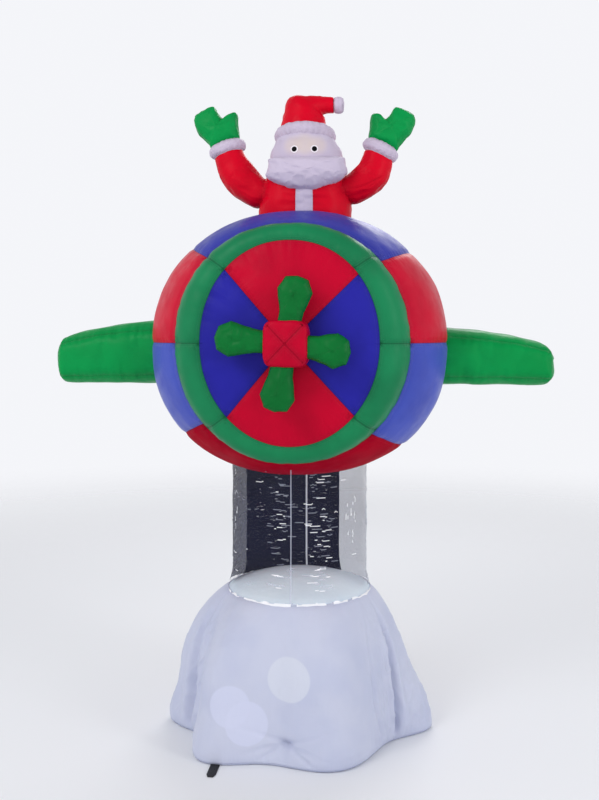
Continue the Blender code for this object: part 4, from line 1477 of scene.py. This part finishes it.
@dataclass
class Santa:
    """The figure in the aeroplane: coat, arms, mittens, head, beard and hat.

    Attributes:
        left_arm: Upper arm, elbow and wrist, each from the coat's middle and above the seat.
        right_arm: The same for the right arm.
        leans: How far each cuff and each mitten leans from upright, in degrees.
        strip: Where the coat's white front strip starts and ends, in degrees.
    """

    body: PlaneBody
    x: float = 0.022
    coat_half_width: float = 0.176
    coat_half_depth: float = 0.128
    shoulder_width: float = 0.128
    coat_height: float = 0.178
    coat_sunk: float = 0.069
    strip: tuple[float, float] = (261.5, 283.0)
    upper_arm: float = 0.058
    elbow: float = 0.067
    wrist: float = 0.054
    cuff_radius: float = 0.070
    cuff_length: float = 0.046
    mitten_width: float = 0.120
    mitten_length: float = 0.156
    mitten_thickness: float = 0.092
    thumb_reach: float = 0.090
    left_arm: tuple = ((0.177, 0.077), (0.248, 0.137), (0.295, 0.231))
    right_arm: tuple = ((0.174, 0.087), (0.240, 0.127), (0.279, 0.219))
    leans: tuple = ((18.0, 25.0), (-27.0, -25.0))
    head_brow: float = 0.108
    head_jaw: float = 0.139
    head_depth: float = 0.106
    head_sunk: float = 0.055
    head_height: float = 0.182
    head_y: float = -0.018
    beard_offset: float = 0.013
    beard_widths: tuple[float, float, float] = (0.270, 0.306, 0.090)
    beard_length: float = 0.128
    beard_cheek: float = 0.072
    beard_stand: float = 0.040
    beard_thickness: float = 0.150
    brim_half_width: float = 0.1145
    brim_height: float = 0.050
    brim_drop: float = 0.018
    brim_tilt: float = 9.0
    hat_radius: float = 0.093
    hat_height: float = 0.158
    hat_tip_reach: float = 0.109
    pompom_length: float = 0.038
    pompom_radius: float = 0.031
    gap: float = 0.0004

    @property
    def seat(self) -> float:
        """The height of the aeroplane's top, which the coat comes out of."""
        return self.body.centre_height + self.body.half_height

    @property
    def head_bottom(self) -> float:
        """The height of the head's lowest point."""
        return self.seat + self.coat_height - self.head_sunk

    @property
    def beard_x(self) -> float:
        """The beard's middle across."""
        return self.x + self.beard_offset

    def arm_points(self, side: float) -> list[tuple[float, float]]:
        """An arm's upper arm, elbow and wrist across and up, with -1 for the left."""
        arm = self.left_arm if side < 0.0 else self.right_arm
        return [(self.x + side * out, self.seat + lift) for out, lift in arm]

    def build(self) -> None:
        """Make every piece of the figure."""
        self.build_coat()
        for label, side, (lean, hand_lean) in zip(("left", "right"), (-1.0, 1.0), self.leans):
            x, z = self.arm_points(side)[-1]
            base = np.array([x, 0.0, z])
            self.build_cuff("cuff_" + label, base, lean)
            root = base + lean_axes(lean)[0] * (0.7 * self.cuff_length)
            self.build_mitten("mitten_" + label, side, root, hand_lean)
        self.build_head()
        self.build_beard()
        self.build_brim()
        self.build_hat()

    def build_coat(self) -> None:
        """Make the coat: a bag with a white front strip, and both sleeves sewn to it."""
        columns = 288
        low = self.seat - self.coat_sunk
        tall = self.coat_height + self.coat_sunk
        corners = (
            (0.0, 0.97, 0.97),
            (0.32, 1.0, 1.0),
            (0.55, 0.97, 1.0),
            (0.72, 0.90, 0.95),
            (0.88, 0.74, 0.76),
            (0.97, 0.42, 0.46),
        )
        rings = []
        for share, wide, depth in spline(corners, 64, False):
            half = (self.coat_half_width * wide, self.coat_half_depth * depth)
            rings.append((np.array([self.x, 0.0, low + tall * share]), RIGHT, BACK, half, 2.2))
        bag = loft(rings, columns, np.array([self.x, 0.0, low]), np.array([self.x, 0.0, low + tall]))
        sleeves = {"left": self.sleeve(-1.0), "right": self.sleeve(1.0)}
        strip = [int(round(columns * angle / 360)) for angle in self.strip]
        bag.seams.extend(bag.points[:47, column].copy() for column in strip)
        bag.seams.extend(self.crossing(sleeve, bag) for sleeve in sleeves.values())
        bag.panels = np.zeros((len(rings) - 1, columns), int)
        bag.panels[:, strip[0] : strip[1]] = 1
        bag.puff(0.002, 0.002, 0.026, 0.0014, 0.024, 71)
        bag.ripple(0.0024, 0.10, 72)
        bag.dress("coat_cloth", "red_nylon", [Cloth.RED, Cloth.WHITE], "coat", air=Air())
        for label, sleeve in sleeves.items():
            sleeve.seams.append(self.crossing(sleeve, bag))
            sleeve.sew_angles((90,))
            sleeve.puff(0.001, 0.002, 0.024, 0.0014, 0.028, 73)
            sleeve.ripple(0.0022, 0.09, 74)
            sleeve.dress("sleeve_" + label, "red_nylon", [Cloth.RED], air=Air())

    def crossing(self, sleeve: Skin, bag: Skin) -> Array:
        """The armhole: where a sleeve comes out of the bag.

        Args:
            sleeve: The sleeve's skin.
            bag: The coat's skin.

        Returns:
            A closed line round the sleeve.
        """
        line = []
        middle = np.array([self.x, 0.0])
        for column in range(0, sleeve.points.shape[1], 2):
            for point in sleeve.points[:, column]:
                row = bag.points[np.abs(bag.points[:, 0, 2] - point[2]).argmin()]
                reach = np.maximum(np.abs(row[:, :2] - middle).max(axis=0), 1e-6)
                if (np.abs((point[:2] - middle) / reach) ** 2.2).sum() > 1.0:
                    break
            line.append(point)
        return np.array([*line, line[0]])

    def sleeve(self, side: float) -> Skin:
        """One raised sleeve.

        Args:
            side: -1 for the left, 1 for the right.

        Returns:
            The sleeve's skin.
        """
        upper, elbow, wrist = self.arm_points(side)
        forearm = 0.5 * (self.elbow + self.wrist)
        shoulder = (self.x + side * 0.5 * self.shoulder_width, upper[1] - 0.006)
        fore = (0.5 * (elbow[0] + wrist[0]) + side * 0.008, 0.5 * (elbow[1] + wrist[1]))
        corners = (
            (*shoulder, self.upper_arm, 1.3 * self.upper_arm),
            (*upper, self.upper_arm, 1.25 * self.upper_arm),
            (*elbow, self.elbow, 1.05 * self.elbow),
            (*fore, forearm, forearm),
            (*wrist, self.wrist, self.wrist),
        )
        path = spline(corners, 60, False)
        heading = np.gradient(path[:, :2], axis=0)
        heading /= np.linalg.norm(heading, axis=1, keepdims=True)
        rings = []
        for (x, z, radius, depth), (dx, dz) in zip(path, heading):
            rings.append((np.array([x, 0.0, z]), np.array([dz, 0.0, -dx]), BACK, (radius, depth), 2.0))
        return loft(rings, 144, rings[0][0], rings[-1][0])

    def build_cuff(self, name: str, base: Array, lean: float) -> None:
        """Make the bulging cuff.

        Args:
            name: Its node.
            base: The wrist's place.
            lean: How far it leans from upright, in degrees.
        """
        along, across = lean_axes(lean)
        first = base - along * 0.12 * self.cuff_length
        last = base + along * 0.88 * self.cuff_length
        knots = spline(((0.0, 0.88), (0.2, 0.98), (0.5, 1.0), (0.8, 0.98), (1.0, 0.86)), 28, False)
        steps = [(first, 0.88 * share) for share in (0.5, 0.8)]
        steps += [(base + along * (self.cuff_length * (share - 0.12)), size) for share, size in knots]
        steps += [(last, 0.86 * share) for share in (0.8, 0.5)]
        rings = [(centre, across, BACK, (self.cuff_radius * size,) * 2, 2.0) for centre, size in steps]
        skin = loft(rings, 160, first, last)
        skin.sew_rows(2, len(rings) - 3)
        skin.puff(0.002, 0.002, 0.019, 0.0016, 0.016, 81)
        skin.dress(name + "_cloth", "white_nylon", [Cloth.FUR], name, fill=0.8, air=Air(0.03, 0.004))

    def build_mitten(self, name: str, side: float, root: Array, lean: float) -> None:
        """Make the mitten that comes out of the cuff.

        Args:
            name: Its node.
            side: -1 for the left, 1 for the right.
            root: Where it starts.
            lean: How far it leans from upright, in degrees.
        """
        along, across = lean_axes(lean)
        half = 0.5 * self.mitten_width
        tall = self.mitten_length + 0.18 * self.cuff_length
        thumb = self.thumb_reach
        # The outline from the outer edge of the wrist over the fingertips to the thumb.
        corners = (
            (-0.86 * half, 0.0),
            (-1.02 * half, 0.20 * tall),
            (-1.30 * half, 0.48 * tall),
            (-1.33 * half, 0.77 * tall),
            (-1.02 * half, 0.95 * tall),
            (-0.38 * half, tall),
            (0.34 * half, 0.95 * tall),
            (0.40 * half, 0.78 * tall),
            (0.60 * half, 0.575 * tall),
            (0.70 * thumb, 0.65 * tall),
            (0.93 * thumb, 0.625 * tall),
            (thumb, 0.52 * tall),
            (0.86 * thumb, 0.34 * tall),
            (0.90 * half, 0.0),
        )

        def place(u: Array, v: Array, lift: Array) -> Array:
            """Points from places across and along the hand and off its plane."""
            return root - side * u[:, None] * across + v[:, None] * along + lift[:, None] * BACK

        middle = (-0.08 * half, 0.46 * tall)
        skin = pillow(cut_outline(corners, 252, 0.8), middle, self.mitten_thickness, place, 2.3, 34)
        skin.puff(0.0012, 0.0012, 0.020, 0.0010, 0.016, 83)
        skin.ripple(0.0014, 0.06, 84)
        skin.dress(name + "_cloth", "green_nylon", [Cloth.GREEN], name, air=Air(0.013, 0.004))

    def build_head(self) -> None:
        """Make the head: white whiskers all round with the face let into their front."""
        bottom = self.head_bottom
        # Each corner has its share of the height, how much of the jaw's width it has, and its size.
        corners = (
            (0.02, 1.0, 0.40),
            (0.06, 1.0, 0.80),
            (0.20, 1.0, 0.97),
            (0.38, 1.0, 1.0),
            (0.55, 0.84, 1.0),
            (0.70, 0.38, 1.0),
            (0.82, 0.0, 1.0),
            (0.93, 0.0, 0.82),
            (0.985, 0.0, 0.48),
        )
        rings = []
        for share, jaw, size in spline(corners, 64, False):
            wide = self.head_brow + (self.head_jaw - self.head_brow) * jaw
            x = self.x + (self.beard_x - self.x) * (1.0 - share)
            middle = np.array([x, self.head_y, bottom + self.head_height * share])
            rings.append((middle, RIGHT, BACK, (wide * size, self.head_depth * size), 2.0))
        chin = np.array([self.beard_x, self.head_y, bottom])
        skin = loft(rings, 240, chin, np.array([self.x, self.head_y, bottom + self.head_height]))
        skin.sew_angles((90,))
        skin.puff(0.001, 0.002, 0.022, 0.0010, 0.016, 85)
        skin.ripple(0.0016, 0.06, 86)
        skin.dress("head_cloth", "white_nylon", [Cloth.FACE], "head")

    def build_beard(self) -> None:
        """Make the beard: a wide stuffed bib with a soft fold across it."""
        top, wide, tip = (0.5 * width for width in self.beard_widths)
        tall = self.beard_length
        bottom = self.head_bottom + self.beard_cheek - tall
        # The outline from its tip up the right side and down the left, with shares of its height.
        outline = (
            (0.0, 0.0),
            (tip, 0.02),
            (0.72 * wide, 0.24),
            (wide, 0.50),
            (0.94 * wide, 0.80),
            (top, 0.97),
            (0.5 * top, 1.0),
            (0.0, 1.0),
            (-0.5 * top, 1.0),
            (-top, 0.97),
            (-0.94 * wide, 0.80),
            (-wide, 0.46),
            (-0.72 * wide, 0.20),
            (-tip, 0.02),
        )
        corners = [(u, v * tall) for u, v in outline]
        middle_y = -self.coat_half_depth - self.beard_stand + 0.5 * self.beard_thickness

        def place(u: Array, v: Array, lift: Array) -> Array:
            """Points from places across and up the beard and off its plane."""
            return np.stack([self.beard_x + u, middle_y + lift, bottom + v], axis=1)

        skin = pillow(spline(corners, 280), (0.0, 0.56 * tall), self.beard_thickness, place, 2.6, 40)
        skin.puff(0.002, 0.002, 0.024, 0.0014, 0.018, 87)
        level = skin.points[..., 2] - bottom
        bow = level - 0.62 * tall + 0.35 * ((skin.points[..., 0] - self.beard_x) / 0.16) ** 2 * 0.03
        fold = -0.0016 * bell(bow, 0.007) + 0.0008 * bell(bow + 0.018, 0.012)
        front = np.clip((middle_y - skin.points[..., 1]) / 0.03, 0.0, 1.0)
        skin.push(fold * front + 0.0022 * Ripple(0.07, 88).at(skin.points))
        skin.dress("beard_cloth", "white_nylon", [Cloth.WHITE], "beard", air=Air(0.010, 0.004))

    def brim_frame(self) -> tuple[Array, Array]:
        """How the brim lies.

        Returns:
            Its middle, and the direction up through it.
        """
        tilt = math.radians(self.brim_tilt)
        lift = self.head_bottom + self.head_height - self.brim_drop
        middle = np.array([self.x + 0.001, self.head_y + 0.006, lift])
        return middle, math.sin(tilt) * BACK + math.cos(tilt) * UP

    def build_brim(self) -> None:
        """Make the fur brim of the hat."""
        centre, up = self.brim_frame()
        deep = np.array([0.0, up[2], -up[1]])
        rings = []
        for step in np.linspace(-2.0, 2.0, 30):
            bend = math.pi * step / 5.2
            size = self.brim_half_width * (0.86 + 0.14 * math.cos(bend))
            lift = 0.5 * self.brim_height * math.sin(bend) / math.sin(math.pi * 2 / 5.2)
            rings.append((centre + up * lift, RIGHT, deep, (size, size), 2.0))
        half = up * (0.5 * self.brim_height)
        skin = loft(rings, 288, centre - half, centre + half)
        skin.sew_rows(0, len(rings) - 1)
        skin.puff(0.002, 0.001, 0.020, 0.0018, 0.016, 91)
        skin.dress("hat_brim_cloth", "white_nylon", [Cloth.FUR], "hat_brim", fill=0.8, air=Air(0.03, 0.004))

    def build_hat(self) -> None:
        """Make the folded hat and the pompom at its tip."""
        centre, up = self.brim_frame()
        base = centre + up * (0.3 * self.brim_height)
        tall = self.hat_height - 0.3 * self.brim_height * up[2]
        tip = np.array([self.x + self.hat_tip_reach, centre[1], base[2] + tall * 0.725])
        # Each corner has its share of the reach, its share of the height, its lean and its two sizes.
        corners = (
            (-0.06, 0.0, 0.0, 1.0, 1.0),
            (-0.03, 0.43, 7.0, 0.86, 0.90),
            (0.045, 0.68, 30.0, 0.80, 0.80),
            (0.34, 0.735, 47.0, 0.51, 0.62),
            (0.69, 0.735, 72.0, 0.365, 0.43),
            (1.0, 0.725, 90.0, 0.33, 0.34),
        )
        rings = []
        for out, lift, lean, size, depth in spline(corners, 70, False):
            bend = math.radians(lean)
            side = np.array([math.cos(bend), 0.0, -math.sin(bend)])
            middle = np.array([base[0] + (tip[0] - base[0]) * out, centre[1], base[2] + tall * lift])
            rings.append((middle, side, BACK, (self.hat_radius * size, self.hat_radius * depth), 2.0))
        skin = loft(rings, 200, np.array([base[0], centre[1], base[2]]), tip)
        skin.sew_angles((0, 180))
        skin.sew_rows(0)
        skin.puff(0.001, 0.0015, 0.024, 0.0010, 0.022, 92)
        skin.ripple(0.0013, (0.05, 0.06, 0.03), 93)
        skin.dress("hat_cloth", "red_nylon", [Cloth.RED], "hat", fill=0.8, air=Air(0.004, 0.0015))
        self.build_pompom(tip + RIGHT * self.gap)

    def build_pompom(self, start: Array) -> None:
        """Make the pompom.

        Args:
            start: Where it starts, just off the hat's tip.
        """
        knots = spline(((0.0, 0.84), (0.25, 1.0), (0.75, 1.0), (1.0, 0.82)), 22, False)
        rings = []
        for share, size in [(0.0, 0.4), *knots.tolist(), (1.05, 0.4)]:
            middle = start + RIGHT * (self.pompom_length * share)
            rings.append((middle, BACK, UP, (self.pompom_radius * size,) * 2, 2.0))
        skin = loft(rings, 120, start, start + RIGHT * (self.pompom_length + 0.003))
        skin.sew_rows(1, len(rings) - 2)
        skin.puff(0.001, 0.0012, 0.014, 0.0012, 0.010, 94)
        skin.dress("pompom_cloth", "white_nylon", [Cloth.FUR], "pompom", fill=0.8)


@dataclass(frozen=True)
class Softbox:
    """One soft studio light.

    Attributes:
        name: The light's name.
        place: Where it hangs, in metres.
        aim: What it points at.
        size: Its width and height in metres.
        power: Its power in watts.
    """

    name: str
    place: tuple[float, float, float]
    aim: tuple[float, float, float]
    size: tuple[float, float]
    power: float

    def build(self) -> None:
        """Hang the light."""
        light = bpy.data.lights.new(self.name, "AREA")
        light.shape = "RECTANGLE"
        light.size, light.size_y = self.size
        light.energy = self.power
        made = bpy.data.objects.new(self.name, light)
        made.location = self.place
        made.rotation_euler = (Vector(self.aim) - Vector(self.place)).to_track_quat("-Z", "Y").to_euler()
        bpy.context.scene.collection.objects.link(made)


@dataclass
class Studio:
    """The floor, the light and the camera.

    Attributes:
        azimuth: How far the camera stands to the object's right, in degrees.
        distance: How far it stands from the tube's axis.
        eye: Its height.
        focal: Its focal length in millimetres.
        shift: How far its view is shifted down.
        floor_radius: How far the floor reaches.
        horizon: The room's brightness low down.
        ceiling: The room's brightness overhead.
        softboxes: The lights.
    """

    azimuth: float = 5.0
    distance: float = 3.64
    eye: float = 1.5
    focal: float = 42.75
    shift: float = -0.085
    floor_radius: float = 9.0
    horizon: float = 0.95
    ceiling: float = 0.46
    softboxes: tuple[Softbox, ...] = (
        Softbox("key", (-2.6, -3.6, 4.2), (0.0, 0.0, 1.2), (2.2, 2.2), 88.0),
        Softbox("fill", (3.8, -2.6, 2.4), (0.0, 0.0, 1.2), (0.9, 2.6), 40.0),
        Softbox("back", (0.5, 3.4, 3.8), (0.0, 0.0, 1.6), (2.6, 1.6), 60.0),
    )

    def build(self) -> None:
        """Set up the whole studio."""
        for softbox in self.softboxes:
            softbox.build()
        self.build_floor()
        self.build_world()
        self.build_camera()

    def build_floor(self) -> None:
        """Lay a wide pale disc just under the object."""
        count = 96
        low = -0.0005
        points = [(0.0, 0.0, low)]
        for radius in (1.5, 3.0, 6.0, self.floor_radius):
            points.extend((radius * math.cos(t), radius * math.sin(t), low) for t in turns(count))
        faces = []
        for step in range(count):
            after = (step + 1) % count
            faces.append((0, 1 + step, 1 + after))
            for inner in (1, 1 + count, 1 + 2 * count):
                outer = inner + count
                faces.append((inner + step, outer + step, outer + after, inner + after))
        mesh = bpy.data.meshes.new("floor")
        mesh.from_pydata(points, [], faces)
        mesh.materials.append(Sweep("pale_floor", "#eff0f3").build())
        floor = bpy.data.objects.new("floor", mesh)
        bpy.context.scene.collection.objects.link(floor)

    def build_world(self) -> None:
        """Fill the room with soft pale light."""
        world = bpy.data.worlds.new("studio")
        world.use_nodes = True
        tree = world.node_tree
        s = Shades(tree)
        heading = add_node(tree, "TexCoord").outputs["Generated"]
        height = add_node(tree, "SeparateXYZ", {0: heading}).outputs[2]
        strength = s.ramp(height, 0.36, 0.80, self.horizon, self.ceiling)
        feed(tree, tree.nodes["Background"], {"Color": srgb("#fafbff"), "Strength": strength})
        bpy.context.scene.world = world

    def build_camera(self) -> None:
        """Stand a level camera where the photograph was taken from."""
        turn = math.radians(self.azimuth)
        data = bpy.data.cameras.new("camera")
        data.lens = self.focal
        data.sensor_width = 36.0
        data.shift_y = self.shift
        data.clip_end = 200.0
        camera = bpy.data.objects.new("camera", data)
        camera.location = (self.distance * math.sin(turn), -self.distance * math.cos(turn), self.eye)
        camera.rotation_euler = (math.radians(90.0), 0.0, turn)
        bpy.context.scene.collection.objects.link(camera)
        bpy.context.scene.camera = camera


def main() -> None:
    """Build every piece over the frame, then the studio."""
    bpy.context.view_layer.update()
    mound = SnowMound()
    mound.build()
    TetherTab(mound).build()
    body = PlaneBody()
    body.build()
    ClearTube(body, mound).build()
    Wing(-1.0, 0.243, body).build()
    Wing(1.0, 0.212, body).build()
    Propeller(body).build()
    Santa(body).build()
    Studio().build()
    bpy.context.scene.view_settings.view_transform = "Standard"


if __name__ == "__main__":
    main()
